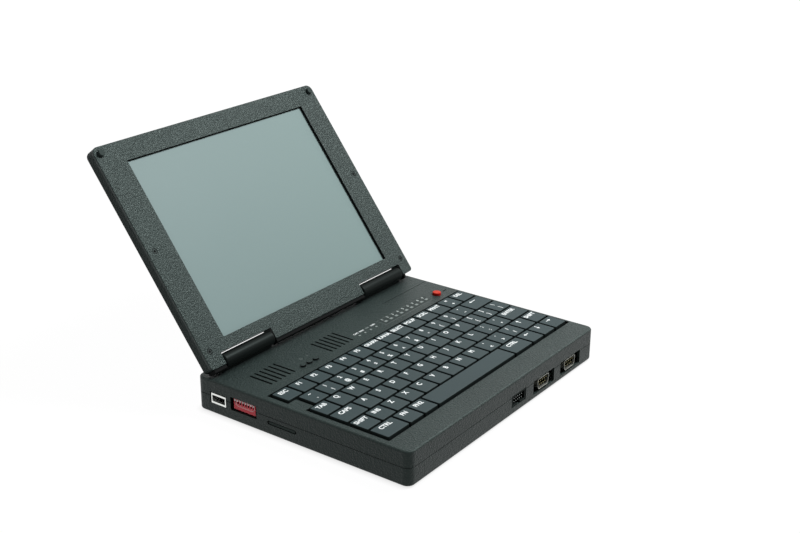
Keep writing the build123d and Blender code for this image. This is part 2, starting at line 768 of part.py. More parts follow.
def make_usb_shell():
    """Metal shell of the USB socket, with turned-out lips at its mouth."""
    with BuildPart() as usb_shell:
        with BuildSketch(LEFT_FACE.offset(-USB_LIP_PROUD)):
            with Locations((USB_Y, USB_Z)):
                Rectangle(USB_LIP_W, USB_LIP_H)
        extrude(amount=USB_LIP_T)
        with BuildSketch(LEFT_FACE.offset(-USB_LIP_PROUD)):
            with Locations((USB_Y, USB_Z)):
                Rectangle(USB_W, USB_H)
        extrude(amount=USB_D)
        with BuildSketch(LEFT_FACE.offset(-USB_LIP_PROUD)):
            with Locations((USB_Y, USB_Z)):
                Rectangle(USB_W - 2 * USB_SKIN, USB_H - 2 * USB_SKIN)
        extrude(amount=USB_D, mode=Mode.SUBTRACT)
    return usb_shell


def make_usb_insulator():
    """Plastic tongue of the USB socket, its back wall and the foot under the shell."""
    inner_w = USB_W - 2 * USB_SKIN - 2 * FIT
    inner_h = USB_H - 2 * USB_SKIN - 2 * FIT
    back = USB_D - USB_LIP_PROUD - TONGUE_BACK_T
    start = WALL + BOARD_SIDE_GAP
    shell_low = USB_Z - USB_H / 2
    with BuildPart() as usb_insulator:
        with BuildSketch(LEFT_FACE.offset(TONGUE_SET)):
            with Locations((USB_Y, USB_Z + inner_h / 2 - TONGUE_T / 2 - USB_SKIN)):
                Rectangle(TONGUE_W, TONGUE_T)
        extrude(amount=back - TONGUE_SET)
        with BuildSketch(LEFT_FACE.offset(back)):
            with Locations((USB_Y, USB_Z)):
                Rectangle(inner_w, inner_h)
        extrude(amount=2 * TONGUE_BACK_T)
        with BuildSketch(LEFT_FACE.offset(start)):
            with Locations((USB_Y, (shell_low + MAINBOARD_TOP) / 2)):
                Rectangle(USB_W, shell_low - MAINBOARD_TOP)
        extrude(amount=back + 2 * TONGUE_BACK_T - start)
        with BuildSketch(LEFT_FACE.offset(back + TONGUE_BACK_T + FIT)):
            with Locations((USB_Y, (USB_Z + MAINBOARD_TOP) / 2)):
                Rectangle(inner_w, USB_Z - MAINBOARD_TOP)
        extrude(amount=TONGUE_BACK_T - FIT)
    return usb_insulator


# Front ports
def d_outline(inset):
    """Sketch the five-sided outline of a nine-pin shell, this far inside its outer face."""
    high = D_HIGH / 2 - inset
    slope = math.tan(math.radians(D_SLOPE))
    top = D_WIDE / 2 - inset
    bottom = top - 2 * high * slope
    Polygon((-top, high), (top, high), (bottom, -high), (-bottom, -high), align=None)


def make_port_shell(x):
    """Metal shell and flange of a nine-pin port."""
    with BuildPart() as port_shell:
        with BuildSketch(FRONT_FACE.offset(-D_RECESS - D_LENGTH)):
            with Locations((x, PORT_Z)):
                RectangleRounded(FLANGE_W, FLANGE_H, FLANGE_R)
                with GridLocations(JACK_SPACING, 1, 2, 1):
                    Circle(JACK_R, mode=Mode.SUBTRACT)
        extrude(amount=-FLANGE_T)
        port_plane = Plane(origin=(x, FRONT + D_RECESS, PORT_Z), x_dir=(1, 0, 0), z_dir=(0, -1, 0))
        with BuildSketch(port_plane) as outside:
            d_outline(0)
            fillet(outside.vertices(), D_CORNER_R)
        extrude(amount=-D_LENGTH)
        with BuildSketch(port_plane) as inside:
            d_outline(D_SKIN)
            fillet(inside.vertices(), D_CORNER_R - D_SKIN)
        extrude(amount=-D_LENGTH - FLANGE_T, mode=Mode.SUBTRACT)
    return port_shell


def pin_spots():
    """Places of the nine pins about a port's middle: five above, four below."""
    top = [((i - 2) * D_PIN_PITCH, D_ROW_PITCH / 2) for i in range(5)]
    low = [((i - 1.5) * D_PIN_PITCH, -D_ROW_PITCH / 2) for i in range(4)]
    return top + low


def make_port_insulators():
    """Plastic bodies of the two nine-pin ports, with a hole for each pin."""
    with BuildPart() as port_insulators:
        for x in (PORT_1_X, PORT_1_X + PORT_PITCH):
            face = Plane(origin=(x, FRONT + D_RECESS + D_LENGTH, PORT_Z), x_dir=(1, 0, 0), z_dir=(0, -1, 0))
            with BuildSketch(face) as plug:
                d_outline(D_SKIN + FIT)
                fillet(plug.vertices(), D_CORNER_R - D_SKIN - FIT)
            extrude(amount=-FLANGE_T - FIT)
            with BuildSketch(face.offset(-FLANGE_T - FIT)):
                low = PORT_BOARD_TOP - PORT_Z
                high = D_HIGH / 2 + FIT
                with Locations((0, (low + high) / 2)):
                    Rectangle(D_HOUSING_W, high - low)
            extrude(amount=-D_HOUSING_D)
            with BuildSketch(face):
                with Locations(*pin_spots()):
                    Circle(D_PIN_R + FIT / 2)
            extrude(amount=-FLANGE_T - D_HOUSING_D / 2, mode=Mode.SUBTRACT)
    return port_insulators


def make_port_pins():
    """The eighteen contact pins of the two nine-pin ports."""
    with BuildPart() as port_pins:
        for x in (PORT_1_X, PORT_1_X + PORT_PITCH):
            tip = Plane(
                origin=(x, FRONT + D_RECESS + D_PIN_SHORT, PORT_Z), x_dir=(1, 0, 0), z_dir=(0, -1, 0)
            )
            with BuildSketch(tip):
                with Locations(*pin_spots()):
                    Circle(D_PIN_R)
            extrude(amount=-D_LENGTH + D_PIN_SHORT - FLANGE_T - D_HOUSING_D / 2 + FIT)
    return port_pins


def header_face():
    """Plane of the box header's mouth."""
    y = FRONT + HEADER_RECESS
    return Plane(origin=(HEADER_X, y, HEADER_Z), x_dir=(1, 0, 0), z_dir=(0, -1, 0))


def make_header_body():
    """Plastic box header with its key notch and its foot on the board."""
    face = header_face()
    front, back = port_board_rows()
    low = PORT_BOARD_TOP - HEADER_Z
    foot_depth = FRONT + HEADER_RECESS + HEADER_D - front
    with BuildPart() as header_body:
        with BuildSketch(face):
            Rectangle(HEADER_W, HEADER_H)
        extrude(amount=-HEADER_D)
        with BuildSketch(face):
            Rectangle(HEADER_W - 2 * HEADER_WALL, HEADER_H - 2 * HEADER_WALL)
            with Locations((0, -HEADER_H / 2 + HEADER_WALL)):
                Rectangle(HEADER_KEY_W, 2 * HEADER_WALL)
        extrude(amount=-HEADER_CAVITY_D, mode=Mode.SUBTRACT)
        with BuildSketch(face.offset(-HEADER_D)):
            with Locations((0, (low - HEADER_H / 2) / 2)):
                Rectangle(HEADER_W, -HEADER_H / 2 - low)
        extrude(amount=foot_depth)
        with BuildSketch(face.offset(-HEADER_CAVITY_D)):
            with GridLocations(HEADER_PITCH, HEADER_PITCH, HEADER_COLUMNS, 2):
                Rectangle(HEADER_PIN + FIT, HEADER_PIN + FIT)
        extrude(amount=HEADER_CAVITY_D - HEADER_D, mode=Mode.SUBTRACT)
    return header_body


def make_header_pins():
    """Ten square posts of the box header."""
    with BuildPart() as header_pins:
        with BuildSketch(header_face().offset(HEADER_PIN_L - HEADER_CAVITY_D)):
            with GridLocations(HEADER_PITCH, HEADER_PITCH, HEADER_COLUMNS, 2):
                Rectangle(HEADER_PIN, HEADER_PIN)
        extrude(amount=-HEADER_PIN_L - HEADER_D + HEADER_CAVITY_D)
    return header_pins


# Deck fittings
def make_speaker(x):
    """Round speaker, glued under its slots, with its cone and magnet cup."""
    with BuildPart() as speaker:
        with BuildSketch(Plane.XY.offset(Z_CEILING - SPEAKER_RIM_T)):
            with Locations((x, Y_GRILLE)):
                Circle(SPEAKER_R)
        extrude(amount=SPEAKER_RIM_T)
        with BuildSketch(Plane.XY.offset(Z_CEILING - SPEAKER_H)):
            with Locations((x, Y_GRILLE)):
                Circle(SPEAKER_CUP_R)
        extrude(amount=SPEAKER_H - SPEAKER_RIM_T)
        with BuildSketch(Plane.XY.offset(Z_CEILING)):
            with Locations((x, Y_GRILLE)):
                Circle(CONE_R)
        extrude(amount=-CONE_DEPTH, taper=30, mode=Mode.SUBTRACT)
    return speaker


def add_light_pipes(x, pitch, count, top):
    """Add a row of square light pipes, from just above the status board up to this height."""
    low = Z_STATUS_TOP + LIGHT_PIPE_GAP
    with BuildSketch(Plane.XY.offset(low)) as pipes:
        with Locations((x, Y_WINDOWS)):
            with GridLocations(pitch, 1, count, 1):
                Rectangle(WINDOW_L - 2 * FIT, WINDOW_W - 2 * FIT)
    extrude(pipes.sketch, amount=top - low)


def make_status_windows():
    """Window strip and the light pipes of the status lamps, and three oval lenses."""
    strip_low = Z_DECK - STRIP_SUNK
    with BuildPart() as status_windows:
        with BuildSketch(Plane.XY.offset(strip_low)):
            with Locations((STRIP_X, Y_STRIP)):
                RectangleRounded(STRIP_W - 2 * FIT, STRIP_D - 2 * FIT, STRIP_CORNER_R)
        extrude(amount=STRIP_T)
        add_light_pipes(STRIP_X + STRIP_WINDOWS_SHIFT, STRIP_PITCH, STRIP_COUNT, strip_low)
        add_light_pipes(LOCK_X, LOCK_PITCH, LOCK_COUNT, Z_DECK - FIT)
        with BuildSketch(Plane.XY.offset(Z_CEILING)):
            with Locations((OVAL_X, Y_WINDOWS)):
                with GridLocations(OVAL_PITCH, 1, OVAL_COUNT, 1):
                    SlotOverall(OVAL_L - 2 * FIT, OVAL_W - 2 * FIT)
        extrude(amount=DECK_T - OVAL_SUNK)
    return status_windows


def make_status_board():
    """Narrow board under the status lamps and the power button."""
    left, right = status_board_ends()
    with BuildPart() as status_board:
        with BuildSketch(Plane.XY.offset(Z_STATUS_TOP - PCB_T)):
            with Locations(((left + right) / 2, status_board_y())):
                Rectangle(right - left, STATUS_BOARD_D)
        extrude(amount=PCB_T)
    return status_board


def make_power_switch():
    """Flat push switch on the status board, under the power button."""
    with BuildPart() as power_switch:
        with BuildSketch(Plane.XY.offset(Z_STATUS_TOP)):
            with Locations((BUTTON_X, Y_BUTTON)):
                Rectangle(SWITCH_W, SWITCH_W)
        extrude(amount=SWITCH_H)
    return power_switch


def make_power_button():
    """Round power button, held from below by its flange."""
    flange_top = Z_CEILING - BUTTON_LIFT_GAP
    with BuildPart() as power_button:
        with BuildSketch(Plane.XY.offset(flange_top)):
            with Locations((BUTTON_X, Y_BUTTON)):
                Circle(BUTTON_R)
        extrude(amount=Z_DECK + BUTTON_PROUD - flange_top)
        fillet(power_button.faces().sort_by(Axis.Z)[-1].edges(), BUTTON_EDGE_R)
        with BuildSketch(Plane.XY.offset(flange_top)):
            with Locations((BUTTON_X, Y_BUTTON)):
                Circle(BUTTON_FLANGE_R)
        extrude(amount=-BUTTON_FLANGE_T)
    return power_button


# Keyboard
def row_middle(row):
    """Y of the middle of a row, where row one is at the back."""
    return KEYS_BACK - (row - 0.5) * KEY_PITCH_Y


def key_middle(start, units):
    """X of the middle of a key that starts this many units from the left."""
    return KEYS_LEFT + (start + units / 2) * KEY_PITCH_X


def stem_spots(start, units, row):
    """Centres of the stems under one key."""
    x = key_middle(start, units)
    y = row_middle(row)
    if units == SPACE_KEY:
        return [(x - SPACE_STEM_SPREAD / 2, y), (x, y), (x + SPACE_STEM_SPREAD / 2, y)]
    return [(x, y)]


def row_starts(first, count):
    """Starts of a run of single keys."""
    return [(first + i, 1) for i in range(count)]


HALF = WIDE_KEY - 1
KEY_GROUPS = {
    "escape_key": (1, [(0, 1)]),
    "function_keys": (1, row_starts(1, 12)),
    "delete_key": (1, [(13, 1)]),
    "number_keys": (2, row_starts(HALF, 12)),
    "backspace_key": (2, [(12 + HALF, WIDE_KEY)]),
    "tab_key": (3, [(0, 1)]),
    "top_letter_keys": (3, row_starts(1, 13)),
    "caps_key": (4, [(0, WIDE_KEY)]),
    "home_letter_keys": (4, row_starts(WIDE_KEY, 11)),
    "enter_key": (4, [(12 + HALF, WIDE_KEY)]),
    "shift_key_left": (5, [(0, 1)]),
    "bottom_letter_keys": (5, row_starts(1, 11)),
    "arrow_key_up": (5, [(12, 1)]),
    "shift_key_right": (5, [(13, 1)]),
    "ctrl_key_left": (6, [(0, WIDE_KEY)]),
    "fn_keys": (6, row_starts(WIDE_KEY, 2)),
    "space_key": (6, [(2 + WIDE_KEY, SPACE_KEY)]),
    "ctrl_key_right": (6, [(2 + WIDE_KEY + SPACE_KEY, WIDE_KEY)]),
    "arrow_key_left": (6, [(11, 1)]),
    "arrow_key_down": (6, [(12, 1)]),
    "arrow_key_right": (6, [(13, 1)]),
}


def all_stems():
    """Centres of every key stem on the keyboard."""
    spots = []
    for row, keys in KEY_GROUPS.values():
        for start, units in keys:
            spots += stem_spots(start, units, row)
    return spots


def make_keys(row, keys):
    """One key, or a run of keys in a row: tapered caps on square stems."""
    with BuildPart() as caps:
        with BuildSketch(Plane.XY.offset(Z_KEY_BOTTOM)):
            for start, units in keys:
                with Locations((key_middle(start, units), row_middle(row))):
                    RectangleRounded(units * KEY_PITCH_X - KEY_GAP, KEY_PITCH_Y - KEY_GAP, KEY_CORNER_R)
        extrude(amount=KEY_H, taper=KEY_TAPER)
        fillet(caps.faces().group_by(Axis.Z)[-1].edges(), KEY_EDGE_R)
        with BuildSketch(Plane.XY.offset(Z_STEM)):
            for start, units in keys:
                with Locations(*stem_spots(start, units, row)):
                    Rectangle(STEM, STEM)
        extrude(amount=Z_KEY_BOTTOM - Z_STEM)
    return caps


def frame_box():
    """Left, right, front and back of the keyboard frame."""
    left = LEFT + WALL + FRAME_SIDE_GAP
    right = RIGHT - WALL - FRAME_SIDE_GAP
    front = KEYS_FRONT - WELL_FRONT - FRAME_LEDGE_Y
    back = KEYS_BACK + WELL_BACK + FRAME_LEDGE_Y
    return left, right, front, back


def frame_rectangle(inset=0.0):
    """Sketch the keyboard frame's outline, this far inside its edge."""
    left, right, front, back = frame_box()
    with Locations(((left + right) / 2, (front + back) / 2)):
        Rectangle(right - left - 2 * inset, back - front - 2 * inset)


def make_keyboard_frame():
    """Plastic frame under the keys, with a square guide for each stem."""
    left, right, front, back = frame_box()
    middle = (left + right) / 2
    with BuildPart() as keyboard_frame:
        with BuildSketch(Plane.XY.offset(Z_SHEET_TOP)):
            frame_rectangle()
        extrude(amount=Z_FRAME_TOP - Z_SHEET_TOP)
        with BuildSketch(Plane.XY.offset(Z_SHEET_TOP)):
            frame_rectangle(FRAME_RIM_T)
        extrude(amount=Z_FRAME_BOTTOM - Z_SHEET_TOP, mode=Mode.SUBTRACT)
        with BuildSketch(Plane.XY.offset(Z_FRAME_TOP)):
            with Locations((middle, front + FRAME_RIM_T / 2), (middle, back - FRAME_RIM_T / 2)):
                Rectangle(right - left, FRAME_RIM_T)
        extrude(amount=Z_CEILING - Z_FRAME_TOP)
        with BuildSketch(Plane.XY.offset(Z_FRAME_BOTTOM)):
            with Locations(*all_stems()):
                Rectangle(STEM + 2 * STEM_FIT, STEM + 2 * STEM_FIT)
        extrude(amount=FRAME_T, mode=Mode.SUBTRACT)
    return keyboard_frame


def make_dome_sheet():
    """Rubber sheet with a dome under each stem, drawn at the height of a pressed dome."""
    with BuildPart() as dome_sheet:
        with BuildSketch(Plane.XY.offset(Z_SHEET_BOTTOM)):
            frame_rectangle()
        extrude(amount=SHEET_T)
        with BuildSketch(Plane.XY.offset(Z_SHEET_TOP)):
            with Locations(*all_stems()):
                Circle(DOME_R)
        extrude(amount=DOME_H)
    return dome_sheet


def make_keyboard_backplate():
    """Steel plate that closes the keyboard from below."""
    with BuildPart() as keyboard_backplate:
        with BuildSketch(Plane.XY.offset(Z_BACKPLATE)):
            frame_rectangle()
        extrude(amount=BACKPLATE_T)
    return keyboard_backplate


# Hinges
def make_hinge_cover(side):
    """Barrel-shaped cover on the deck, bored for the bracket's knuckle."""
    notch_left = min(hinge_x(side, NOTCH_INNER), hinge_x(side, NOTCH_INNER + NOTCH_W))
    low = notch_left + BARREL_GAP_LEFT
    length = NOTCH_W - BARREL_GAP_LEFT - BARREL_GAP_RIGHT
    pedestal_top = Z_HINGE - BARREL_R / 2
    with BuildPart() as hinge_cover:
        with BuildSketch(Plane.YZ.offset(low)):
            with Locations((Y_HINGE, Z_HINGE)):
                Circle(BARREL_R)
        extrude(amount=length)
        fillet(hinge_cover.edges().filter_by(GeomType.CIRCLE), BARREL_END_R)
        with BuildSketch(Plane.YZ.offset(low + BARREL_END_R)):
            with Locations((Y_HINGE + (PEDESTAL_BACK - PEDESTAL_FRONT) / 2, (Z_DECK + pedestal_top) / 2)):
                Rectangle(PEDESTAL_BACK + PEDESTAL_FRONT, pedestal_top - Z_DECK)
        extrude(amount=length - 2 * BARREL_END_R)
        start = hinge_x(side, NOTCH_INNER)
        depth = KNUCKLE_FROM_NOTCH + KNUCKLE_L + KNUCKLE_CLEAR
        with BuildSketch(Plane.YZ.offset(start)):
            with Locations((Y_HINGE, Z_HINGE)):
                Circle(KNUCKLE_R + KNUCKLE_CLEAR)
        extrude(amount=side * depth, mode=Mode.SUBTRACT)
        with BuildSketch(Plane.XY.offset(Z_DECK)):
            with Locations((hinge_x(side, ARM_AT), Y_HINGE)):
                Rectangle(ARM_W + 2 * ARM_CLEAR, ARM_T + 2 * ARM_CLEAR)
        extrude(amount=HINGE_ABOVE_DECK, mode=Mode.SUBTRACT)
    return hinge_cover


def make_hinge_bracket(side):
    """Steel bracket in the base: a bored knuckle on an arm, with a foot screwed to the floor."""
    start = hinge_x(side, KNUCKLE_START)
    seat = bracket_seat(side)
    with BuildPart() as hinge_bracket:
        with BuildSketch(Plane.YZ.offset(start)):
            with Locations((Y_HINGE, Z_HINGE)):
                Circle(KNUCKLE_R)
        extrude(amount=side * KNUCKLE_L)
        with BuildSketch(Plane.XY.offset(BRACKET_SEAT_Z)):
            with Locations((hinge_x(side, ARM_AT), Y_HINGE)):
                Rectangle(ARM_W, ARM_T)
        extrude(amount=Z_HINGE - BRACKET_SEAT_Z)
        with BuildSketch(Plane.XY.offset(BRACKET_SEAT_Z)):
            with Locations(seat):
                Rectangle(ARM_W, BRACKET_FOOT_D)
                Circle(SCREW_HOLE_R, mode=Mode.SUBTRACT)
        extrude(amount=BRACKET_FOOT_T)
        with BuildSketch(Plane.YZ.offset(start)):
            with Locations((Y_HINGE, Z_HINGE)):
                Circle(PIN_R + PIN_CLEAR)
        extrude(amount=side * KNUCKLE_L, mode=Mode.SUBTRACT)
    return hinge_bracket


def leaf_screw_spots(side):
    """Centres of a hinge leaf's two screws in the lid's plane."""
    outer = NOTCH_INNER - NOTCH_WALL - LEAF_GAP - LEAF_BLOCK_L
    inner = NOTCH_INNER - NOTCH_WALL - LEAF_GAP - LEAF_L
    y = LEAF_H - LEAF_SCREW_INSET
    return [(hinge_x(side, outer - LEAF_SCREW_INSET), y), (hinge_x(side, inner + LEAF_SCREW_INSET), y)]


def make_hinge_leaf(side):
    """Steel leaf in the lid, with the hinge pin that turns in the base's knuckle."""
    outer = NOTCH_INNER - NOTCH_WALL - LEAF_GAP
    low = LID_LOW + LID_LOW_WALL + FIT
    pin_end = KNUCKLE_START + KNUCKLE_L - PIN_SHORT
    with BuildPart() as hinge_leaf:
        with BuildSketch(LID_PLANE.offset(LID_INSIDE)):
            with Locations((hinge_x(side, outer - LEAF_L / 2), (low + LEAF_H) / 2)):
                Rectangle(LEAF_L, LEAF_H - low)
            with Locations(*leaf_screw_spots(side)):
                Circle(LID_SCREW_HOLE_R, mode=Mode.SUBTRACT)
        extrude(amount=LEAF_T)
        with BuildSketch(LID_PLANE.offset(LID_INSIDE)):
            with Locations((hinge_x(side, outer - LEAF_BLOCK_L / 2), (low + LEAF_BLOCK_H) / 2)):
                Rectangle(LEAF_BLOCK_L, LEAF_BLOCK_H - low)
        extrude(amount=BEZEL_BACK - FIT - LID_INSIDE)
        with BuildSketch(Plane.YZ.offset(hinge_x(side, outer - LEAF_BLOCK_L / 2))):
            with Locations((Y_HINGE, Z_HINGE)):
                Circle(PIN_R)
        extrude(amount=side * (pin_end - outer + LEAF_BLOCK_L / 2))
    return hinge_leaf


# Lid
def lid_outline(outline):
    """Draw the lid's outline in this sketch, with tighter corners at its low edge."""
    with Locations((0, (LID_TOP + LID_LOW) / 2)):
        Rectangle(LID_W, LID_TOP - LID_LOW)
    fillet(outline.vertices().group_by(Axis.Y)[-1], LID_CORNER_R)
    fillet(outline.vertices().group_by(Axis.Y)[0], LID_LOW_CORNER_R)


def notch_rectangles(wall=0.0):
    """Sketch both hinge notches, grown by a wall."""
    top = NOTCH_ABOVE_AXIS + wall
    low = LID_LOW - (0 if wall else 1)
    for side in (-1, 1):
        with Locations((hinge_x(side, NOTCH_INNER + NOTCH_W / 2), (top + low) / 2)):
            Rectangle(NOTCH_W + 2 * wall, top - low)


def lid_screw_spots():
    """Centres of the bezel's four screws in the lid's plane."""
    x = LID_W / 2 - LID_SCREW_INSET
    return [(-x, LID_SCREW_LOW), (x, LID_SCREW_LOW), (-x, LID_SCREW_HIGH), (x, LID_SCREW_HIGH)]


def bumper_spots():
    """Centres of the two bumpers in the lid's plane."""
    x = LID_W / 2 - BUMPER_INSET
    return [(-x, LID_TOP - BUMPER_BELOW_TOP), (x, LID_TOP - BUMPER_BELOW_TOP)]


def cut_pin_ways():
    """Cut the ways that let the hinge pins into the lid."""
    for side in (-1, 1):
        with BuildSketch(Plane.YZ.offset(hinge_x(side, NOTCH_INNER + 1))) as way:
            with Locations((Y_HINGE, Z_HINGE)):
                Circle(PIN_R + PIN_HOLE_CLEAR)
        extrude(way.sketch, amount=-side * (NOTCH_WALL + 1 + LEAF_GAP), mode=Mode.SUBTRACT)


def make_lid_shell():
    """Back shell of the lid: a shallow tray with notch walls and screw bosses."""
    inner_low = LID_LOW + LID_LOW_WALL
    inner_top = LID_TOP - LID_WALL
    boss_h = BEZEL_BACK - LID_INSIDE
    leaf_bosses = leaf_screw_spots(-1) + leaf_screw_spots(1)
    with BuildPart() as lid_shell:
        with BuildSketch(LID_PLANE.offset(LID_REAR)) as outline:
            lid_outline(outline)
        extrude(amount=BEZEL_BACK - LID_REAR)
        fillet(lid_shell.faces().sort_by(LID_AXIS)[0].edges(), LID_EDGE_R)
        with BuildSketch(LID_PLANE.offset(LID_INSIDE)):
            with Locations((0, (inner_top + inner_low) / 2)):
                RectangleRounded(LID_W - 2 * LID_WALL, inner_top - inner_low, LID_CORNER_R - LID_WALL)
        extrude(amount=boss_h, mode=Mode.SUBTRACT)
        with BuildSketch(LID_PLANE.offset(LID_INSIDE)):
            notch_rectangles(NOTCH_WALL)
            with Locations(*lid_screw_spots()):
                Circle(LID_BOSS_R)
        extrude(amount=boss_h)
        with BuildSketch(LID_PLANE.offset(LID_REAR)):
            notch_rectangles()
        extrude(amount=LID_T, mode=Mode.SUBTRACT)
        with BuildSketch(LID_PLANE.offset(LID_INSIDE)):
            with Locations(*lid_screw_spots()):
                Circle(LID_SCREW_R + FIT / 2)
        extrude(amount=boss_h, mode=Mode.SUBTRACT)
        with BuildSketch(LID_PLANE.offset(LID_INSIDE - LID_BACK_T / 2)):
            with Locations(*leaf_bosses):
                Circle(LID_SCREW_R + FIT / 2)
        extrude(amount=LID_BACK_T, mode=Mode.SUBTRACT)
        cut_pin_ways()
    return lid_shell


def make_lid_bezel():
    """Front frame of the lid, with the display window, screw holes and bumper pockets."""
    with BuildPart() as lid_bezel:
        with BuildSketch(LID_PLANE.offset(BEZEL_BACK)) as outline:
            lid_outline(outline)
        extrude(amount=BEZEL_T)
        fillet(lid_bezel.faces().sort_by(LID_AXIS)[-1].edges(), BEZEL_EDGE_R)
        with BuildSketch(LID_PLANE.offset(BEZEL_BACK)):
            with Locations((DISPLAY_SHIFT_X, DISPLAY_ABOVE_AXIS + DISPLAY_H / 2)):
                RectangleRounded(DISPLAY_W, DISPLAY_H, DISPLAY_CORNER_R)
            notch_rectangles()
            with Locations(*lid_screw_spots()):
                Circle(LID_SCREW_HOLE_R)
        extrude(amount=BEZEL_T, mode=Mode.SUBTRACT)
        with BuildSketch(LID_PLANE.offset(FACE)):
            with Locations(*lid_screw_spots()):
                Circle(LID_HEAD_R + FIT)
        extrude(amount=-LID_HEAD_SINK, mode=Mode.SUBTRACT)
        with BuildSketch(LID_PLANE.offset(FACE)):
            with Locations(*bumper_spots()):
                Circle(BUMPER_R + FIT)
        extrude(amount=-BUMPER_SUNK, mode=Mode.SUBTRACT)
    return lid_bezel


def display_rectangle(margin):
    """Sketch a rectangle this much larger than the display window on each side."""
    with Locations((DISPLAY_SHIFT_X, DISPLAY_ABOVE_AXIS + DISPLAY_H / 2)):
        Rectangle(DISPLAY_W + 2 * margin, DISPLAY_H + 2 * margin)


def make_display_panel():
    """Flat display panel behind the window."""
    with BuildPart() as display_panel:
        with BuildSketch(LID_PLANE.offset(BEZEL_BACK)):
            display_rectangle(PANEL_OVERLAP)
        extrude(amount=-PANEL_T)
    return display_panel


def make_display_frame():
    """Metal tray that holds the panel against the bezel."""
    pocket = PANEL_OVERLAP + PANEL_FIT
    with BuildPart() as display_frame:
        with BuildSketch(LID_PLANE.offset(LID_INSIDE)):
            display_rectangle(pocket + DISPLAY_FRAME_T)
            with Locations(*lid_screw_spots()):
                Circle(LID_BOSS_R + PANEL_FIT, mode=Mode.SUBTRACT)
        extrude(amount=BEZEL_BACK - LID_INSIDE)
        with BuildSketch(LID_PLANE.offset(BEZEL_BACK)):
            display_rectangle(pocket)
        extrude(amount=-PANEL_T, mode=Mode.SUBTRACT)
        with BuildSketch(LID_PLANE.offset(LID_INSIDE + DISPLAY_FRAME_T)):
            display_rectangle(PANEL_OVERLAP - DISPLAY_LEDGE)
        extrude(amount=BEZEL_BACK - LID_INSIDE, mode=Mode.SUBTRACT)
    return display_frame


def make_lid_screws():
    """Four bezel screws and four hinge leaf screws."""
    head_seat = FACE - LID_HEAD_SINK
    leaf_spots = leaf_screw_spots(-1) + leaf_screw_spots(1)
    leaf_seat = LID_INSIDE + LEAF_T
    with BuildPart() as lid_screws:
        for spots, seat, length in (
            (lid_screw_spots(), head_seat, LID_SCREW_L),
            (leaf_spots, leaf_seat, LEAF_T + LID_BACK_T / 2),
        ):
            with BuildSketch(LID_PLANE.offset(seat)):
                with Locations(*spots):
                    Circle(LID_SCREW_R)
            extrude(amount=-length)
            with BuildSketch(LID_PLANE.offset(seat)):
                with Locations(*spots):
                    Circle(LID_HEAD_R)
            extrude(amount=LID_HEAD_H)
    return lid_screws


def make_lid_bumpers():
    """Two rubber bumpers that meet the deck when the lid is closed."""
    with BuildPart() as lid_bumpers:
        with BuildSketch(LID_PLANE.offset(FACE - BUMPER_SUNK)):
            with Locations(*bumper_spots()):
                Circle(BUMPER_R)
        extrude(amount=BUMPER_SUNK + BUMPER_PROUD)
        top = lid_bumpers.faces().group_by(LID_AXIS)[-1]
        fillet(top.edges(), BUMPER_EDGE_R)
    return lid_bumpers


def main():
    """Build every piece and write it."""
    os.makedirs("parts", exist_ok=True)
    save(make_bottom_case(), "bottom_case")
    save(make_top_case(), "top_case")
    save(make_rubber_feet(), "rubber_feet")
    save(make_base_screws(), "base_screws")
    save(make_mainboard(), "mainboard")
    save(make_front_port_board(), "front_port_board")
    save(make_battery_pack(), "battery_pack")
    save(make_card_socket(), "card_socket")
    save(make_dip_body(), "dip_switch_body")
    save(make_dip_levers(), "dip_switch_levers")
    save(make_usb_shell(), "usb_shell")
    save(make_usb_insulator(), "usb_insulator")
    save(make_port_shell(PORT_1_X), "port_shell_1")
    save(make_port_shell(PORT_1_X + PORT_PITCH), "port_shell_2")
    save(make_port_insulators(), "port_insulators")
    save(make_port_pins(), "port_pins")
    save(make_header_body(), "header_body")
    save(make_header_pins(), "header_pins")
    save(make_speaker(GRILLE_LEFT_X), "speaker_left")
    save(make_speaker(GRILLE_RIGHT_X), "speaker_right")
    save(make_status_windows(), "status_windows")
    save(make_status_board(), "status_board")
    save(make_power_switch(), "power_switch")
    save(make_power_button(), "power_button")
    for name, (row, keys) in KEY_GROUPS.items():
        save(make_keys(row, keys), name)
    save(make_keyboard_frame(), "keyboard_frame")
    save(make_dome_sheet(), "dome_sheet")
    save(make_keyboard_backplate(), "keyboard_backplate")
    for side, word in ((-1, "left"), (1, "right")):
        save(make_hinge_cover(side), f"hinge_cover_{word}")
        save(make_hinge_bracket(side), f"hinge_bracket_{word}")
        save(make_hinge_leaf(side), f"hinge_leaf_{word}")
    save(make_lid_shell(), "lid_shell")
    save(make_lid_bezel(), "lid_bezel")
    save(make_display_panel(), "display_panel")
    save(make_display_frame(), "display_frame")
    save(make_lid_screws(), "lid_screws")
    save(make_lid_bumpers(), "lid_bumpers")


main()
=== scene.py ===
# %% [markdown]
# # A small dark laptop with its lid open
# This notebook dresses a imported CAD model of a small, thick laptop. The CAD solids are a
# fixed frame: they give every shape and every place, in metres. What is left to do here is
# the look: moulded plastic with a fine grain, printed legends on the keys, metal sockets,
# a blank display, and a studio with soft light.

# %% Load the CAD frame
import math

import bmesh
import bpy
from mathutils import Matrix, Vector


